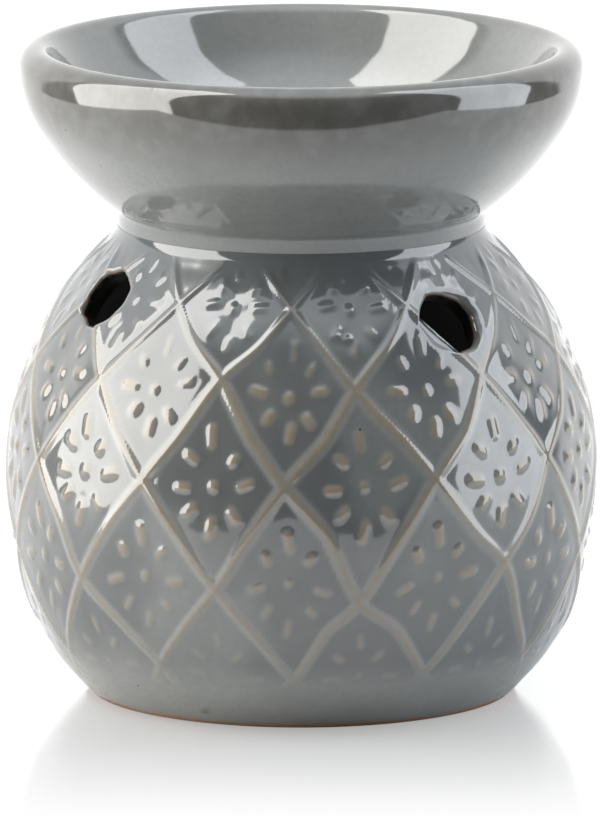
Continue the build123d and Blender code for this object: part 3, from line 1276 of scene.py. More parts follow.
    def _wrapped(self, tree: ShapeTree, name: str) -> Socket:
        """Repeat a stencil round the globe, wobble it by hand and lay it on the wall.

        Args:
            tree: Tree to add to.
            name: Input that gives the stencil.

        Returns:
            The laid stencil.
        """
        given = tree.given
        inputs = {"Geometry": tree.shape(name), "Amount": given["Columns"]}
        many = tree.add("GeometryNodeDuplicateElements", inputs, domain="EDGE").outputs
        across, up, _ = tree.parts(tree.add("GeometryNodeInputPosition").outputs[0])
        pitch = tree.math("DIVIDE", 2 * math.pi, given["Columns"])
        turned = tree.math("MULTIPLY_ADD", many["Duplicate Index"], pitch, across)
        guess = self._on_wall(tree, turned, up)
        inputs = {"Vector": guess, "W": given["Seed"], "Scale": self.sway_waves, "Detail": 1.0}
        sway = tree.add("ShaderNodeTexNoise", inputs, noise_dimensions="4D").outputs["Color"]
        sideways, upwards = (
            tree.times(tree.math("SUBTRACT", part, 0.5), given["Wobble"]) for part in tree.parts(sway)[:2]
        )
        sideways = tree.math("DIVIDE", sideways, self.line.points[:, 0].max() * MM)
        astray, climb = self._stray(tree, guess)
        azimuth = tree.math("ADD", turned, tree.math("ADD", sideways, astray))
        mark = tree.math("ADD", up, tree.math("ADD", upwards, climb))
        inputs = {"Geometry": many["Geometry"], "Position": self._on_wall(tree, azimuth, mark)}
        return tree.add("GeometryNodeSetPosition", inputs).outputs[0]

    @staticmethod
    def _stray(tree: ShapeTree, place: Socket) -> list[Socket]:
        """Shift that the nearest strayed crossing gives to a place.

        Args:
            tree: Tree to add to.
            place: The place on the wall.

        Returns:
            The shift in azimuth and in distance.
        """
        points = tree.shape("Strays")
        inputs = {0: points, "Sample Position": place}
        nearest = tree.add("GeometryNodeSampleNearest", inputs, domain="POINT").outputs[0]
        gap = tree.add("GeometryNodeProximity", inputs, target_element="POINTS").outputs["Distance"]
        inputs = {"Geometry": points, "Value": tree.own("shift", "FLOAT_VECTOR"), "Index": nearest}
        shift = tree.add("GeometryNodeSampleIndex", inputs, data_type="FLOAT_VECTOR", domain="POINT")
        pull = tree.ramp(gap, 0.0, tree.given["Stray Reach"], 1.0, 0.0)
        return tree.parts(tree.scaled(shift.outputs[0], pull))[:2]

    @staticmethod
    def _on_wall(tree: ShapeTree, azimuth: Socket, mark: Socket) -> Socket:
        """Place on the wall.

        Args:
            tree: Tree to add to.
            azimuth: Azimuth of the place.
            mark: Its distance along the wall's line.

        Returns:
            The place.
        """
        curve = tree.add("GeometryNodeMeshToCurve", {0: tree.shape("Line")}).outputs[0]
        sample = tree.add("GeometryNodeSampleCurve", {"Curves": curve, "Length": mark}, mode="LENGTH")
        radius, _, height = tree.parts(sample.outputs["Position"])
        x = tree.times(radius, tree.math("SINE", azimuth))
        y = tree.times(radius, tree.math("COSINE", azimuth), -1.0)
        return tree.add("ShaderNodeCombineXYZ", {0: x, 1: y, 2: height}).outputs[0]

    def raise_on(self, wall: bpy.types.Object, finish: bpy.types.Material) -> None:
        """Run the tree on the wall and keep the result as a plain mesh.

        Args:
            wall: Object to work on. Its mesh is replaced.
            finish: Material of the result.
        """
        sizes = self.sizes
        stencils = {
            "Ribs": self.rib_stencil(), "Petals": self.petal_stencil(), "Strays": self.stray_stencil(),
            "Line": self.line_stencil(),
        }
        lengths = {
            "Rib Height": sizes.relief, "Rib Half Width": sizes.rib_half_width,
            "Petal Height": sizes.petal_height, "Petal Half Width": sizes.petal_half_width,
            "Hollow": sizes.hollow, "Wobble": sizes.wobble, "Stray Reach": sizes.stray_reach,
        }
        plain = {"Columns": sizes.columns, "Seed": sizes.seed, "Finish": finish}
        self.tree().run(wall, stencils | {name: size * MM for name, size in lengths.items()} | plain)
        for stencil in stencils.values():
            bpy.data.meshes.remove(stencil.data)


@dataclass(frozen=True)
class Flaw:
    """A small lump that the making left on the wall, with its glaze gone brown over it."""

    azimuth: float
    height: float
    half_width: float
    half_length: float
    lift: float
    stain: float

    def spread(self, line: SectionLine, wall: WallGrid) -> Array:
        """How strongly the lump is felt at each of the wall's points.

        Args:
            line: The wall's section line.
            wall: Grid of the wall.

        Returns:
            Shares from 0 to 1.
        """
        mark = np.interp(self.height, line.points[:, 1], line.marks)
        radius = line.radius_at(mark)
        turn = (wall.azimuth - math.radians(self.azimuth) + math.pi) % (2 * math.pi) - math.pi
        across, along = turn * radius / self.half_width, (wall.mark - mark) / self.half_length
        return np.exp(-across**2 - along**2)


@dataclass(frozen=True)
class Punch:
    """Where a vent is punched: its middle's azimuth and height, its radius and how its edge came out."""

    azimuth: float
    height: float
    radius: float
    seed: int
    wide_way: float = 0.0
    web: float = 99.0


class Globe:
    """The glazed globe: wall, chamber, floor, foot, vents and doorway in one closed mesh.

    Bands on the wall are distances up from the foot, or down from the seam where their name says neck.
    A web ring is a share of the web's reach, a depth in the vent and how dark its glaze is made there.
    """

    columns = 528
    row_step = 0.56
    first_row = 0.5
    last_support = 0.05
    plain_columns = 132
    chamber_step = 1.9
    floor_middle = 30.0
    rim_radius = 0.9
    door_rim_radius = 1.1
    door_rim_spread = 1.35
    door_bore_grow = -0.06
    vent_bore_grow = 0.3
    rim_steps = 4
    rim_broken = 0.4
    rim_bare = 0.5
    glazed_depth = 2.4
    rib_band = (12.0, 44.0)
    low_fullness = 0.68
    full_gain = 0.32
    petal_band = (14.0, 40.0)
    low_petals = 0.5
    petal_gain = 0.5
    high_band = (60.0, 72.0)
    high_full_loss = 0.3
    high_petal_loss = 0.5
    plain_neck = (5.0, 1.2)
    flush_neck = (4.5, 0.8)
    # Band below the seam over which the shoulder, under the bowl, is painted darker as shade.
    neck_shade_band = (26.0, 3.0)
    flush_foot = (0.6, 5.0)
    # Strength of that painted shade at the seam.
    neck_shade = 0.85
    punches = (
        Punch(-48.2, 70.9, 5.3, 21), Punch(50.6, 68.8, 5.7, 22, web=2.7),
        Punch(129.0, 69.6, 5.6, 23), Punch(-130.5, 69.0, 5.7, 24, wide_way=math.pi),
    )
    web_rings = (
        (0.05, 0.25, 0.6), (0.3, 1.0, 1.0), (0.86, 0.8, 1.0), (0.95, 0.65, 0.2), (1.0, 0.85, 0.0),
        (0.96, 1.15, 0.5), (0.0, 1.5, 1.0),
    )
    flaws = (
        Flaw(-13.4, 3.1, 0.75, 0.65, 0.5, 0.9), Flaw(6.6, 76.6, 0.5, 1.7, 0.16, 0.8),
        Flaw(23.0, 67.0, 0.8, 0.6, 0.35, 0.6), Flaw(20.2, 67.3, 0.5, 0.5, 0.3, 0.5),
    )

    def __init__(self, sizes: GlobeSizes, lattice: LatticeSizes, glaze: bpy.types.Material) -> None:
        """Work out the two wall lines.

        Args:
            sizes: Sizes of the globe.
            lattice: Sizes of its ornament.
            glaze: Its finish.
        """
        self.sizes = sizes
        self.lattice = lattice
        self.glaze = glaze
        outside = sizes.outside()
        neck = (outside.length - distance for distance in self.flush_neck)
        depth = smooth_step(outside.marks, *self.flush_foot) * (1 - smooth_step(outside.marks, *neck))
        self.outside = outside.sunk(lattice.relief * depth)
        self.chamber = sizes.chamber()

    def _neck_rise(self, wall: WallGrid, band: tuple[float, float]) -> Array:
        """Eased rise over a band at the neck, whose distances run down from the seam."""
        return smooth_step(wall.mark, *(self.outside.length - distance for distance in band))

    def vents(self) -> list[Vent]:
        """The four vents, each a little off its place, as hands leave them.

        Returns:
            The vents.
        """
        sizes = self.sizes
        upright = np.array([0.0, 0.0, 1.0])
        vents = []
        for punch in self.punches:
            azimuth = math.radians(punch.azimuth)
            rise = punch.height - sizes.equator
            reach = leg(sizes.shoulder_arc, rise)
            away = np.array([math.sin(azimuth), -math.cos(azimuth), 0.0])
            out = (away * reach + upright * rise) / sizes.shoulder_arc
            up = (upright * reach - away * rise) / sizes.shoulder_arc
            middle = away * (sizes.shoulder_center[0] + reach) + upright * punch.height
            edge = (punch.radius, punch.seed, punch.wide_way, punch.web)
            vents.append(Vent(middle, np.cross(up, out), up, out, *edge))
        return vents

    def doorway(self) -> Doorway:
        """The doorway in the back wall.

        Returns:
            The doorway.
        """
        middle = np.array([0.0, self.sizes.body_radius, self.sizes.door_spring])
        axes = np.array([[-1.0, 0.0, 0.0], [0.0, 0.0, 1.0], [0.0, 1.0, 0.0]])
        drop = self.sizes.door_spring - self.sizes.floor_height
        return Doorway(middle, *axes, self.sizes.door_half_width, drop)

    def build(self) -> bpy.types.Object:
        """Build, ornament and finish the globe.

        Returns:
            The finished object.
        """
        draft = MeshDraft(
            rib_room=1, petal_room=1, fullness=1, wall_facing=3, settled=1, broken=1, bare=1, smoke=1
        )
        top = self.outside.length
        marks = np.linspace(self.first_row, top - self.last_support, int(top / self.row_step))
        wall = WallGrid(self.outside, np.append(marks, top), self.columns)
        floor_edge = self.chamber.length - self.floor_middle
        inner_marks = np.linspace(0.0, floor_edge, int(floor_edge / self.chamber_step))
        inner = WallGrid(self.chamber, inner_marks, self.plain_columns)
        cuts: list[tuple[Opening, float, Array, Array]] = []
        for vent in self.vents():
            edges = wall.open(vent, self.rim_radius), inner.open(vent, self.vent_bore_grow)
            cuts.append((vent, self.rim_radius, *edges))
        door = self.doorway()
        spread = self.door_rim_radius * self.door_rim_spread
        edges = wall.open(door, spread), inner.open(door, self.door_bore_grow)
        cuts.append((door, self.door_rim_radius, *edges))
        wall_ids = self._add_wall(draft, wall)
        # The chamber's wall is bare clay painted near black as shade.
        inner_ids = draft.add(inner.points(), bare=1.0, smoke=1.0)
        self._add_faces(draft, inner_ids, inner.kept)
        for opening, radius, outer_edge, inner_edge in cuts:
            ring, angle = self._round_edge(draft, opening, radius, wall, wall_ids, outer_edge)
            across, up, _ = opening.local(inner.points()[inner_edge])
            draft.zipper(ring, angle, inner_ids[inner_edge], np.arctan2(up, across))
        draft.zipper(wall_ids[-1], full_turn(self.columns), inner_ids[0], full_turn(self.plain_columns))
        # Its floor too is painted near black as shade.
        draft.cap(inner_ids[-1], self.sizes.floor_height, bare=1.0, smoke=1.0)
        self._add_foot(draft, wall_ids[0])
        globe = draft.finish("glazed_globe")
        RaisedLattice(self.lattice, self.outside).raise_on(globe, self.glaze)
        return globe

    def _add_wall(self, draft: MeshDraft, wall: WallGrid) -> Array:
        """Add the outer wall with its flaws and the room that ribs and petals have on it.

        Args:
            draft: Mesh to add to.
            wall: Grid of the wall.

        Returns:
            Indices of the grid's points.
        """
        rib_room = smooth_step(wall.mark, self.lattice.plain_foot, self.lattice.full_foot)
        rib_room *= 1 - self._neck_rise(wall, self.plain_neck)
        petal_room = self.low_petals + self.petal_gain * smooth_step(wall.mark, *self.petal_band)
        petal_room *= rib_room
        high = smooth_step(wall.mark, *self.high_band)
        petal_room *= 1 - self.high_petal_loss * high
        fullness = self.low_fullness + self.full_gain * smooth_step(wall.mark, *self.rib_band)
        fullness -= self.high_full_loss * high
        # Painted shade: the shoulder under the bowl darkens towards the seam.
        settled = self.neck_shade * self._neck_rise(wall, self.neck_shade_band)
        lift, stain = np.zeros_like(wall.mark), np.zeros_like(wall.mark)
        for flaw in self.flaws:
            spread = flaw.spread(self.outside, wall)
            lift += flaw.lift * spread
            stain = np.maximum(stain, flaw.stain * spread)
        ids = draft.add(
            wall.points() + wall.facing() * lift[..., None], rib_room=rib_room, petal_room=petal_room,
            fullness=fullness, settled=settled, broken=stain, wall_facing=wall.facing(),
        )
        self._add_faces(draft, ids, wall.kept)
        return ids

    @staticmethod
    def _add_faces(draft: MeshDraft, ids: Array, kept: Array) -> None:
        """Add the faces of a grid that its openings leave.

        Args:
            draft: Mesh to add to.
            ids: Indices of the grid's points.
            kept: Which faces are left.
        """
        beside = np.roll(ids, -1, axis=1)
        quads = np.stack([ids[:-1], beside[:-1], beside[1:], ids[1:]], axis=-1)[kept]
        draft.faces.extend(tuple(row) for row in quads.tolist())

    def _round_edge(
        self, draft: MeshDraft, opening: Opening, radius: float, wall: WallGrid, wall_ids: Array,
        edge: tuple[Array, Array],
    ) -> tuple[Array, Array]:
        """Round a hole's outer edge over and glaze the first of its depth.

        Args:
            draft: Mesh to add to.
            opening: The hole.
            radius: Radius of the rounding.
            wall: Grid of the outer wall.
            wall_ids: Indices of the grid's points.
            edge: Rows and columns of the hole's edge on the grid, in order.

        Returns:
            Indices of the deepest ring of points, and their angles round the hole.
        """
        places = wall.points()[edge]
        facing = wall.facing()[edge]
        along = np.roll(places, -1, axis=0) - np.roll(places, 1, axis=0)
        inward = np.cross(facing, along)
        inward /= np.linalg.norm(inward, axis=1)[:, None]
        inward *= np.sign(np.sum(inward * (opening.middle - places), axis=1).sum())
        across, up, _ = opening.local(places)
        angle = np.arctan2(up, across)
        rim = np.full(len(places), radius)
        if isinstance(opening, Vent):
            rim = opening.reach(angle, radius) - opening.reach(angle, 0.0)
        ring = wall_ids[edge]
        for step in range(1, self.rim_steps + 1):
            share = step / self.rim_steps
            turn = math.pi / 2 * share
            in_by, down_by = rim * math.sin(turn), rim * (1 - math.cos(turn))
            points = places + inward * in_by[:, None] - facing * down_by[:, None]
            fresh = draft.add(
                points, rib_room=math.cos(turn), fullness=1.0, wall_facing=facing,
                broken=self.rim_broken * share**3, bare=self.rim_bare * share**6,
            )
            draft.stitch(ring, fresh)
            ring = fresh
        if isinstance(opening, Vent):
            ring = self._hang_web(draft, opening, points, ring)
        # Past the rim, a vent's bore is painted near black as shade; the doorway's is not.
        black = 0.0 if isinstance(opening, Doorway) else 1.0
        deep = draft.add(points - opening.out * self.glazed_depth, broken=1.0, bare=black, smoke=black)
        draft.stitch(ring, deep)
        across, up, _ = opening.local(points)
        return deep, np.arctan2(up, across)

    def _hang_web(
        self, draft: MeshDraft, vent: Vent, points: Array, ring: Array
    ) -> Array:
        """Hang the web of glaze in a vent, out to its thick free edge and back.

        Args:
            draft: Mesh to add to.
            vent: The vent.
            points: Places of the last ring in the vent.
            ring: Indices of that ring's points.

        Returns:
            Indices of the next ring's points, back on the vent's side.
        """
        across, up, _ = vent.local(points)
        angle = np.arctan2(up, across)
        to_axis = -np.outer(np.cos(angle), vent.across) - np.outer(np.sin(angle), vent.up)
        closed = vent.closed(angle)
        # Where no web hangs, the bore is painted near black as shade.
        black = np.where(closed > 0.02, 0.0, 1.0)
        for share, sink, settled in self.web_rings:
            hung = points + to_axis * (closed * share)[:, None] - vent.out * sink
            fresh = draft.add(hung, broken=black, bare=black, smoke=black, settled=settled * (1 - black))
            draft.stitch(ring, fresh)
            ring = fresh
        return ring

    def _add_foot(self, draft: MeshDraft, edge: Array) -> None:
        """Add the foot ring and the recess under the floor.

        Args:
            draft: Mesh to add to.
            edge: Indices of the wall's lowest row.
        """
        outer, recess = self.sizes.foot_radius, self.sizes.foot_recess
        ring = outer - self.sizes.foot_ring
        line = SectionLine(np.array([
            [0.02, recess], [ring - 0.6, recess], [ring, recess - 0.5], [ring + 0.1, 0.35],
            [ring + 0.5, 0.0], [outer - 0.7, 0.0], [outer - 0.15, 0.12],
        ]))
        ids = draft.revolve(line, line.marks, self.plain_columns, bare=1.0)
        draft.cap(ids[0], recess, bare=1.0)
        draft.zipper(edge, full_turn(self.columns), ids[-1], full_turn(self.plain_columns))


@dataclass(frozen=True)
class BowlSizes:
    """Sizes of the oil bowl, in millimetres, equal to the part's.

    The eased dish and the drawn-in, leaning joint below are its own.
    """

    radius: float = 47.45
    side_arc: float = 19.5
    side_turn: float = 32.0
    flank_arc: float = 50.0
    lip_outer: float = 3.2
    lip_inner: float = 2.0
    dish_slope: float = 60.0
    dish_wall: float = 5.8
    dish_ease: float = 6.5
    band: float = 1.4
    joint_pinch: float = 0.35
    joint_lean: float = 8.0
    ceiling_rise: float = 3.7
    floor_thickness: float = 4.5
    ceiling_fillet: float = 2.0


class OilBowl:
    """The shallow oil bowl with its lip, neck and the chamber's ceiling, one closed mesh.

    Bands are distances up from the seam, and those of breaking and mending are from the lip's crest. The
    breaking darkens the lip brown and goes on down the upper flank as painted shade.
    """

    columns = 320
    rows = 150
    ceiling_rows = 24
    seam_support = 0.05
    middle_gap = 0.4
    # Strength of the painted shade on the bowl's foot at the joint.
    joint_shade = 0.35
    joint_band = (0.8, 6.0)
    # Brown at the lip, carried down the upper flank as painted shade.
    breaking_and_shade_band = (-20.0, -7.5)
    mending_band = (-0.5, 3.0)
    calm_foot = (3.0, 16.0)
    calm_middle = 14.0
    sway_depth = 0.03
    ring_depth = 0.004
    mean_depth = 0.07

    def __init__(self, sizes: BowlSizes, globe: GlobeSizes, glaze: bpy.types.Material) -> None:
        """Keep the sizes of the bowl and of the globe that it stands on.

        Args:
            sizes: Sizes of the bowl.
            globe: Sizes of the globe.
            glaze: The bowl's finish.
        """
        self.sizes = sizes
        self.globe = globe
        self.glaze = glaze

    def line(self) -> SectionLine:
        """Section from the seam up over the lip to the middle of the dish.

        Returns:
            The section line.
        """
        sizes, globe = self.sizes, self.globe
        seam = globe.neck_center[1]
        fillet = globe.neck_center + spot(0.0, sizes.band)
        turn = math.radians(sizes.side_turn)
        ray = spot(math.cos(turn), -math.sin(turn))
        reach = sizes.radius - sizes.side_arc - (sizes.flank_arc - sizes.side_arc) * ray[0]
        rise = leg(sizes.flank_arc + globe.waist_fillet, fillet[0] - reach)
        flank = spot(reach, fillet[1] + rise)
        side = flank + ray * (sizes.flank_arc - sizes.side_arc)
        widest = side + spot(sizes.side_arc, 0.0)
        lip = widest - spot(sizes.lip_outer, 0.0)
        crest = lip + spot(0.0, sizes.lip_outer)
        slope = math.radians(sizes.dish_slope)
        square_on = spot(-math.sin(slope), math.cos(slope))
        inner_center = crest - spot(0.0, sizes.lip_inner)
        inner_lip = inner_center + square_on * sizes.lip_inner
        wall_foot = inner_lip - spot(sizes.dish_wall / math.tan(slope), sizes.dish_wall)
        dish = seam + sizes.ceiling_rise + sizes.floor_thickness
        dish_arc = (wall_foot[1] - dish) / (1 - math.cos(slope))
        dish_center = wall_foot + square_on * dish_arc
        dish_edge = spot(dish_center[0], dish)
        joint_reach = fillet[0] - sizes.joint_pinch
        joint_drop = leg(sizes.flank_arc + globe.waist_fillet, joint_reach - reach)
        joint = spot(joint_reach, flank[1] - joint_drop)
        flank_foot = towards(flank, joint, sizes.flank_arc)
        lean = math.radians(sizes.joint_lean)
        band_top = joint + globe.waist_fillet * spot(-math.cos(lean), math.sin(lean))
        neck = spot(band_top[0] - (band_top[1] - seam) * math.tan(lean), seam)
        dish_run = (
            straight_run(inner_lip, wall_foot),
            arc_run(dish_center, wall_foot, dish_edge),
            straight_run(dish_edge, spot(0.0, dish)),
        )
        return SectionLine(
            straight_run(neck, band_top),
            arc_run(joint, band_top, flank_foot),
            arc_run(flank, flank_foot, side + ray * sizes.side_arc),
            arc_run(side, side + ray * sizes.side_arc, widest),
            arc_run(lip, widest, crest),
            arc_run(inner_center, crest, inner_lip),
            softened(np.concatenate(dish_run), sizes.dish_ease),
        )

    def ceiling(self) -> SectionLine:
        """Section from the middle of the chamber's ceiling out to the seam.

        Returns:
            The section line.
        """
        sizes, globe = self.sizes, self.globe
        seam = globe.neck_center[1]
        bore = globe.waist_radius - globe.wall
        height = seam + sizes.ceiling_rise
        edge = spot(bore - sizes.ceiling_fillet, height)
        bore_top = spot(bore, height - sizes.ceiling_fillet)
        return SectionLine(
            straight_run(spot(0.5, height), edge, 3.0),
            arc_run(edge - spot(0.0, sizes.ceiling_fillet), edge, bore_top, 0.4),
            straight_run(bore_top, spot(bore, seam)),
        )

    def build(self) -> bpy.types.Object:
        """Build and finish the bowl.

        Returns:
            The finished object.
        """
        draft = MeshDraft(settled=1, broken=1, bare=1, smoke=1)
        line = self.line()
        marks = np.append(0.0, np.linspace(self.seam_support, line.length - self.middle_gap, self.rows))
        crest = line.marks[np.argmax(line.points[:, 1])]
        # Brown under the lip, fading down the flank as painted shade.
        broken = smooth_step(marks, *(crest + place for place in self.breaking_and_shade_band))
        broken *= 1 - smooth_step(marks, *(crest + place for place in self.mending_band))
        # Painted shade at the joint, fading up the bowl's neck.
        settled = self.joint_shade * (1 - smooth_step(marks, *self.joint_band))
        ids = draft.revolve(line, marks, self.columns, broken=broken, settled=settled)
        self._throw(draft, line, marks)
        draft.cap(ids[-1], line.points[-1, 1])
        ceiling = self.ceiling()
        steps = np.linspace(0.0, ceiling.length, self.ceiling_rows)
        # The chamber's ceiling is bare clay painted near black as shade.
        under = draft.revolve(ceiling, steps, self.columns, bare=1.0, smoke=1.0)
        draft.cap(under[0], ceiling.points[0, 1], bare=1.0, smoke=1.0)
        draft.stitch(under[-1], ids[0])
        bowl = draft.finish("glazed_bowl")
        bowl.data.materials.append(self.glaze)
        return bowl

    def _throw(self, draft: MeshDraft, line: SectionLine, marks: Array) -> None:
        """Give the last turned rows the slight unevenness of a hand-finished bowl.

        Args:
            draft: Mesh whose last added points are the rows.
            line: The bowl's section line.
            marks: Distance along the line of each row.
        """
        turn, mark = np.broadcast_arrays(full_turn(self.columns)[None, :], marks[:, None])
        calm = 1 - smooth_step(mark, line.length - self.calm_middle, line.length)
        calm *= smooth_step(mark, *self.calm_foot)
        sway = np.sin(2 * turn + 0.7) + 0.6 * np.sin(3 * turn + 2.1) + 0.4 * np.sin(5 * turn)
        rings = np.sin(mark * 1.35 + 0.5 * np.sin(turn))
        depth = calm * (self.sway_depth * sway + self.ring_depth * rings + self.mean_depth)
        moved = line.place(turn, mark) - line.facing(turn, mark) * depth[..., None]
        draft.points[-1] = moved.reshape(-1, 3)


@dataclass(frozen=True)
class TeaLightSizes:
    """Sizes of the tea light, in millimetres, equal to the part's."""

    floor_height: float = 6.0
    base_radius: float = 18.2
    mouth_radius: float = 18.6
    height: float = 16.0
    sheet: float = 0.3
    base_fillet: float = 1.5
    rim_width: float = 0.6
    wax_height: float = 12.5
    wax_dish: float = 0.6
    clearance: float = 0.1
    wick_radius: float = 0.9
    wick_proud: float = 8.0
    wick_clearance: float = 0.05
    tab_radius: float = 8.0
    neck_height: float = 4.0

    def cup_radius(self, height: float) -> float:
        """Outer radius of the cup at a height above its base."""
        return self.base_radius + (self.mouth_radius - self.base_radius) * height / self.height


class TeaLight:
    """The tea light: pressed cup, wax and twisted wick.

    The hub is the middle ring of a flat face, and bends are how far a corner of the sheet is rounded.
    """

    cup_columns = 216
    wax_columns = 120
    hub = 0.5
    flat_step = 2.0
    bend_foot = 0.25
    bend_end = 0.12
    lip_bend = 0.2
    lip_foot = 0.5
    tab_edge = 0.2
    wax_climb = 0.55
    climb_reach = 0.6
    creases = 54
    crease_depth = 0.05
    crease_foot = (3.0, 13.0)
    crease_top = (14.5, 15.5)
    strands = 3
    strand_radius = 0.44
    lay_radius = 0.44
    lay_pitch = 4.6

    def __init__(self, sizes: TeaLightSizes) -> None:
        """Keep the sizes."""
        self.sizes = sizes

    def cup(self, foil: bpy.types.Material) -> bpy.types.Object:
        """Pressed cup with a turned-out rim and the faint creases of its drawing.

        Args:
            foil: Its finish.

        Returns:
            The cup.
        """
        sizes = self.sizes
        fillet = spot(sizes.cup_radius(sizes.base_fillet) - sizes.base_fillet, sizes.base_fillet)
        half = sizes.sheet / 2
        rim_foot = sizes.height - sizes.sheet
        rim_end = spot(sizes.cup_radius(sizes.height) + sizes.rim_width - half, sizes.height - half)
        wall_top = spot(sizes.cup_radius(rim_foot), rim_foot)
        inner_top = spot(sizes.cup_radius(sizes.height) - sizes.sheet, sizes.height)
        inner_fillet = sizes.base_fillet - sizes.sheet
        line = SectionLine(
            straight_run(spot(self.hub, 0.0), spot(fillet[0], 0.0), self.flat_step),
            arc_run(fillet, spot(fillet[0], 0.0), fillet + spot(sizes.base_fillet, 0.0), 0.3),
            straight_run(fillet + spot(sizes.base_fillet, 0.0), wall_top - spot(0.0, self.bend_foot), 1.0),
            straight_run(wall_top + spot(self.bend_end, 0.0), rim_end - spot(0.0, half)),
            arc_run(rim_end, rim_end - spot(0.0, half), rim_end + spot(half, 0.0), 0.05),
            arc_run(rim_end, rim_end + spot(half, 0.0), rim_end + spot(0.0, half), 0.05),
            straight_run(inner_top + spot(self.lip_bend, 0.0), inner_top - spot(0.0, self.lip_bend), 0.1),
            straight_run(inner_top - spot(0.0, self.lip_foot), fillet + spot(inner_fillet, 0.0), 1.0),
            arc_run(fillet, fillet + spot(inner_fillet, 0.0), fillet - spot(0.0, inner_fillet), 0.3),
            straight_run(fillet - spot(0.0, inner_fillet), spot(self.hub, sizes.sheet), self.flat_step),
        )
        draft = MeshDraft()
        ids = draft.revolve(line, line.marks, self.cup_columns)
        places = draft.points[-1]
        turn = np.arctan2(places[:, 0], -places[:, 1])
        folds = 0.5 + 0.5 * np.sin(self.creases * turn)
        depth = self.crease_depth * smooth_step(places[:, 2], *self.crease_foot) * folds
        depth *= 1 - smooth_step(places[:, 2], *self.crease_top)
        places[:, :2] *= (1 - depth / np.hypot(places[:, 0], places[:, 1]))[:, None]
        draft.cap(ids[0], 0.0)
        draft.cap(ids[-1], sizes.sheet)
        return self._stood(draft, "pressed_cup", foil)

    def wax(self, wax: bpy.types.Material) -> bpy.types.Object:
        """Wax that has set with a dip in its top and climbs a little up the wick.

        Args:
            wax: Its finish.

        Returns:
            The wax.
        """
        sizes = self.sizes
        bore = sizes.wick_radius + sizes.wick_clearance
        neck = bore + sizes.sheet + sizes.clearance
        tab = sizes.tab_radius + sizes.clearance
        tab_top = 2 * sizes.sheet + sizes.clearance
        neck_top = sizes.sheet + sizes.neck_height + sizes.clearance
        inset = sizes.sheet + sizes.clearance
        rounding = sizes.base_fillet - inset
        top = sizes.sheet + sizes.wax_height
        foot = sizes.cup_radius(sizes.base_fillet) - sizes.base_fillet
        fillet = spot(foot, sizes.base_fillet)
        reach = sizes.cup_radius(top) - inset
        across = np.linspace(reach, bore, 70)
        climb = self.wax_climb * np.exp((bore - across) / self.climb_reach)
        dip = sizes.wax_dish * (1 - (across / reach) ** 2) * (1 - climb)
        line = SectionLine(
            np.array([
                [bore, neck_top], [neck, neck_top], [neck, tab_top], [tab, tab_top], [tab, sizes.sheet],
            ]),
            straight_run(spot(tab + self.tab_edge, sizes.sheet), spot(foot, sizes.sheet), self.flat_step),
            arc_run(fillet, fillet - spot(0.0, rounding), fillet + spot(rounding, 0.0), 0.3),
            straight_run(fillet + spot(rounding, 0.1), spot(reach, top - 0.05), 1.0),
            np.stack([across, top - 0.02 - dip], axis=1),
        )
        draft = MeshDraft()
        ids = draft.revolve(line, line.marks, self.wax_columns)
        draft.stitch(ids[-1], ids[0])
        return self._stood(draft, "set_wax", wax)

    def _stood(self, draft: MeshDraft, name: str, finish: bpy.types.Material) -> bpy.types.Object:
        """Finish a draft that is made from the cup's base up, standing on the chamber's floor.

        Args:
            draft: The piece's mesh.
            name: The piece's name.
            finish: Its material.

        Returns:
            The piece.
        """
        for points in draft.points:
            points[:, 2] += self.sizes.floor_height
        piece = draft.finish(name)
        piece.data.materials.append(finish)
        return piece

    def wick(self, cotton: bpy.types.Material) -> bpy.types.Object:
        """Wick of twisted strands, made with a Geometry Nodes tree and kept as a plain mesh.

        Args:
            cotton: The wick's finish.

        Returns:
            The wick.
        """
        sizes = self.sizes
        height = sizes.wax_height + sizes.wick_proud
        piece = shown("twisted_wick", bpy.data.meshes.new("twisted_wick"))
        self._wick_tree().run(piece, {
            "Strands": self.strands, "Strand Radius": self.strand_radius * MM,
            "Lay Radius": self.lay_radius * MM, "Turns": height / self.lay_pitch, "Height": height * MM,
            "Foot": (sizes.floor_height + sizes.sheet) * MM, "Finish": cotton,
        })
        piece.data.shade_smooth()
        return piece

    @staticmethod
    def _wick_tree() -> ShapeTree:
        """Build the wick's tree, which repeats one strand round the wick's axis.

        Returns:
            The tree.
        """
        tree = ShapeTree("twisted_wick", {
            "Strands": "Int", "Strand Radius": "Float", "Lay Radius": "Float", "Turns": "Float",
            "Height": "Float", "Foot": "Float", "Finish": "Material",
        })
        given = tree.given
        lay = {
            "Resolution": 18, "Rotations": given["Turns"], "Start Radius": given["Lay Radius"],
            "End Radius": given["Lay Radius"], "Height": given["Height"],
        }
        helix = tree.add("GeometryNodeCurveSpiral", lay).outputs[0]
        inputs = {"Resolution": 9, "Radius": given["Strand Radius"]}
        ring = tree.add("GeometryNodeCurvePrimitiveCircle", inputs).outputs[0]
        inputs = {"Curve": helix, "Profile Curve": ring, "Fill Caps": True}
        strand = tree.add("GeometryNodeCurveToMesh", inputs).outputs[0]
        foot = tree.add("ShaderNodeCombineXYZ", {2: given["Foot"]}).outputs[0]
        spots = tree.add("GeometryNodePoints", {"Count": given["Strands"], "Position": foot}).outputs[0]
        pitch = tree.math("DIVIDE", 2 * math.pi, given["Strands"])
        turn = tree.times(tree.add("GeometryNodeInputIndex").outputs[0], pitch)
        turned = tree.add("ShaderNodeCombineXYZ", {2: turn}).outputs[0]
        inputs = {"Points": spots, "Instance": strand, "Rotation": turned}
        tree.hand_out(tree.add("GeometryNodeInstanceOnPoints", inputs).outputs[0])
        return tree


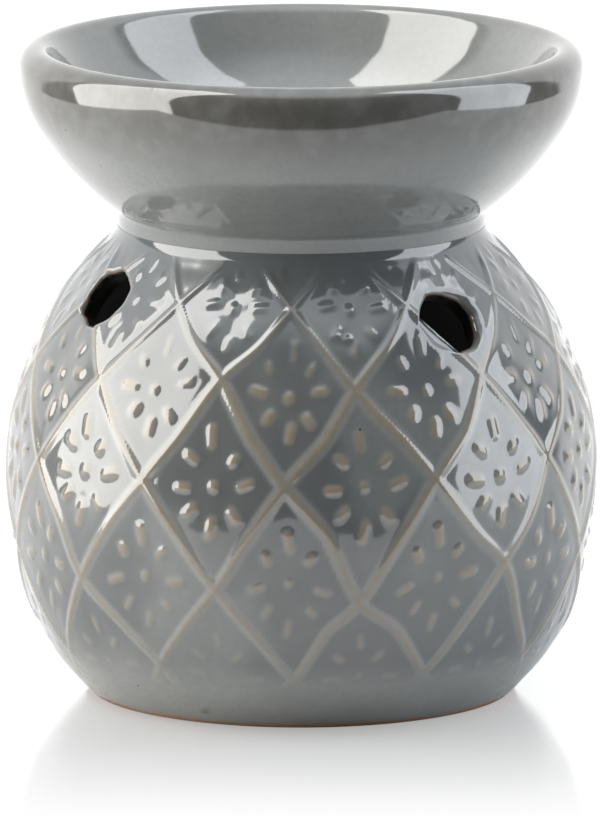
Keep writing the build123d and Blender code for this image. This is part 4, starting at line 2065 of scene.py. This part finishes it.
@dataclass(frozen=True)
class CameraView:
    """Where the photograph was taken from."""

    azimuth: float = 12.0
    elevation: float = 10.45
    distance: float = 2.714
    aim_height: float = 0.0480
    lens: float = 709.7
    film_height: float = 36.0

    def away(self, azimuth: float, elevation: float) -> Vector:
        """Direction at an azimuth from the camera's own and an elevation, in degrees."""
        turn, rise = math.radians(self.azimuth + azimuth), math.radians(elevation)
        return Vector((math.sin(turn) * math.cos(rise), -math.cos(turn) * math.cos(rise), math.sin(rise)))

    def build(self) -> bpy.types.Object:
        """Place the camera and make it the scene's own.

        Returns:
            The camera.
        """
        data = bpy.data.cameras.new("photo_camera")
        data.sensor_fit = "VERTICAL"
        data.sensor_height = self.film_height
        data.lens = self.lens
        data.clip_end = 50.0
        camera = shown("photo_camera", data)
        away = self.away(0.0, self.elevation)
        aim = Vector((0.0, 0.0, self.aim_height))
        camera.location = aim + away * self.distance
        camera.rotation_euler = (-away).to_track_quat("-Z", "Y").to_euler()
        bpy.context.scene.camera = camera
        return camera


@dataclass(frozen=True)
class Softbox:
    """A tall upright studio softbox that faces the object."""

    name: str
    azimuth: float
    distance: float
    width: float
    foot: float
    top: float
    power: float
    tint: Color

    def build(self, view: CameraView) -> bpy.types.Object:
        """Stand the softbox at its azimuth from the camera.

        Args:
            view: Where the camera stands.

        Returns:
            The lamp.
        """
        data = bpy.data.lights.new(self.name, "AREA")
        data.shape = "RECTANGLE"
        data.size = self.width
        data.size_y = self.top - self.foot
        data.energy = self.power
        data.color = self.tint
        lamp = shown(self.name, data)
        away = view.away(self.azimuth, 0.0)
        lamp.location = away * self.distance + Vector((0.0, 0.0, (self.foot + self.top) / 2))
        lamp.rotation_euler = (-away).to_track_quat("-Z", "Y").to_euler()
        return lamp


class Studio:
    """White table, softboxes, surroundings and camera."""

    floor_size = 12.0
    softboxes = (
        Softbox("softbox_left", -78.0, 0.6, 0.56, -0.2, 1.9, 25.0, (1.0, 0.985, 0.95)),
        Softbox("softbox_right", 84.5, 0.6, 0.42, -0.2, 1.9, 12.5, (0.92, 0.96, 1.01)),
    )
    room_level = 0.04
    overhead_level = 2.1
    overhead_tint = (0.95, 0.995, 1.035)
    backdrop_level = 1.5
    backdrop_light = 0.9
    backdrop_lean = 30.0
    table_front = 0.218
    table_side = 0.36
    table_color = 0.68
    seen_table_color = 0.2
    seen_table_glow = 0.385
    table_roughness = 0.12
    backdrop_edge = (0.42, 0.52)
    overhead_edge = (0.72, 1.0)
    tint_edge = (0.6, 0.8)
    fade_edge = (-0.115, -0.045)
    mirrored_edge = (0.0, 0.1)
    front_shares = (-1.06, -0.95)
    side_shares = (0.98, 1.02)

    def __init__(self, view: CameraView, pale: list[bpy.types.Object]) -> None:
        """Keep the view, and the pale pieces that the softboxes would burn out.

        Args:
            view: Where the camera stands.
            pale: Pieces that the softboxes leave out.
        """
        self.view = view
        self.pale = pale
        self.behind = tuple(view.away(180.0, 0.0))
        self.aside = tuple(view.away(90.0, 0.0))

    def build(self) -> None:
        """Build the studio around the object."""
        self.view.build()
        spared = bpy.data.collections.new("lit_by_the_room_alone")
        for piece in self.pale:
            spared.objects.link(piece)
        for entry in spared.collection_objects:
            entry.light_linking.link_state = "EXCLUDE"
        for softbox in self.softboxes:
            softbox.build(self.view).light_linking.receiver_collection = spared
        self._world()
        self._floor()
        bpy.context.scene.view_settings.view_transform = "Standard"

    @staticmethod
    def _along(graph: Graph, vector: Socket, way: tuple[float, float, float]) -> Socket:
        """How far a place or direction lies along a way."""
        node = graph.add("ShaderNodeVectorMath", {0: vector, 1: way}, operation="DOT_PRODUCT")
        return node.outputs["Value"]

    def _world(self) -> None:
        """White for the camera, and a room that is dark in front and light behind and overhead."""
        world = bpy.data.worlds.new("white_studio")
        world.use_nodes = True
        bpy.context.scene.world = world
        graph = Graph(world.node_tree)
        way = graph.add("ShaderNodeTexCoord").outputs["Generated"]
        path = graph.add("ShaderNodeLightPath").outputs
        lean = math.radians(self.backdrop_lean)
        middle = Vector(self.behind) * math.cos(lean) + Vector((0.0, 0.0, math.sin(lean)))
        depth, rise = self._along(graph, way, tuple(middle)), graph.parts(way)[2]
        bright = graph.ramp(path["Is Glossy Ray"], 0.0, 1.0, self.backdrop_light, self.backdrop_level)
        level = graph.ramp(depth, *self.backdrop_edge, self.room_level, bright)
        above = graph.ramp(rise, *self.overhead_edge, self.room_level, self.overhead_level)
        level = graph.math("MAXIMUM", level, above)
        graph.wire(world.node_tree.nodes["Background"], {
            "Strength": graph.math("MAXIMUM", level, path["Is Camera Ray"]),
            "Color": graph.blend(graph.ramp(rise, *self.tint_edge), (1.0, 1.0, 1.0), self.overhead_tint),
        })

    def _floor(self) -> None:
        """A white, glossy table that fades to plain white away from the object.

        Only the camera sees it without end. Other rays meet the table's front and side edges.
        """
        half = self.floor_size / 2
        mesh = bpy.data.meshes.new("white_table")
        corners = [(-half, -half, 0.0), (half, -half, 0.0), (half, half, 0.0), (-half, half, 0.0)]
        mesh.from_pydata(corners, [], [(0, 1, 2, 3)])
        floor = shown("white_table", mesh)
        material, graph, shader = new_material("white_table")
        place = graph.place()
        depth = self._along(graph, place, self.behind)
        aside = graph.math("ABSOLUTE", self._along(graph, place, self.aside))
        path = graph.add("ShaderNodeLightPath").outputs
        graph.wire(shader, {
            "Base Color": (*[self.seen_table_color] * 3, 1.0), "Roughness": self.table_roughness,
            "Emission Color": (1.0, 1.0, 1.0, 1.0), "Emission Strength": self.seen_table_glow,
        })
        white = graph.add("ShaderNodeEmission", {"Strength": 1.0}).outputs[0]
        seen = graph.mix(graph.ramp(depth, *self.fade_edge, 1.0, 0.0), shader.outputs[0], white)
        matt = graph.add("ShaderNodeBsdfDiffuse", {"Color": (*[self.table_color] * 3, 1.0)}).outputs[0]
        lit = graph.add("ShaderNodeEmission", {"Strength": self.backdrop_level}).outputs[0]
        mirrored = graph.times(graph.ramp(depth, *self.mirrored_edge), path["Is Glossy Ray"])
        front_edge = (share * self.table_front for share in self.front_shares)
        side_edge = (share * self.table_side for share in self.side_shares)
        beyond = graph.math(
            "MAXIMUM", graph.ramp(depth, *front_edge, 1.0, 0.0), graph.ramp(aside, *side_edge)
        )
        clear = graph.add("ShaderNodeBsdfTransparent").outputs[0]
        unseen = graph.mix(beyond, graph.mix(mirrored, matt, lit), clear)
        both = graph.mix(path["Is Camera Ray"], unseen, seen)
        graph.tree.links.new(both, graph.tree.nodes["Material Output"].inputs["Surface"])
        mesh.materials.append(material)


def hand_over(piece: bpy.types.Object, body: str, node: str) -> None:
    """Let a finished piece stand for a node, and report it.

    Args:
        piece: The piece.
        body: Body that it rides on.
        node: Node that it stands for.
    """
    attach(piece, body)
    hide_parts(node)
    LOG.info("%s: %d faces, stands for %s", piece.name, len(piece.data.polygons), node)


def main() -> None:
    """Build each class in turn and hand its pieces to the frame."""
    logging.basicConfig(level=logging.INFO, format="%(message)s")
    glaze = Glaze().material()
    sizes = GlobeSizes()
    hand_over(Globe(sizes, LatticeSizes(), glaze).build(), "burner", "burner_body")
    hand_over(OilBowl(BowlSizes(), sizes, glaze).build(), "burner", "oil_bowl")
    tealight = TeaLight(TeaLightSizes())
    foil = PressedMetal("pressed_aluminium", (0.60, 0.605, 0.61), 0.3).material()
    cup, wax = tealight.cup(foil), tealight.wax(Wax().material())
    hand_over(cup, "tealight", "tealight_cup")
    hand_over(wax, "tealight", "tealight_wax")
    hand_over(tealight.wick(WaxedCotton().material()), "tealight", "tealight_wick")
    tinplate = PressedMetal("tinplate", (0.62, 0.62, 0.60), 0.35).material()
    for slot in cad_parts["wick_sustainer"].material_slots:
        slot.material = tinplate
    LOG.info("wick_sustainer: finished in tinplate")
    Studio(CameraView(), [cup, wax]).build()
    LOG.info("studio built")


if __name__ == "__main__":
    main()
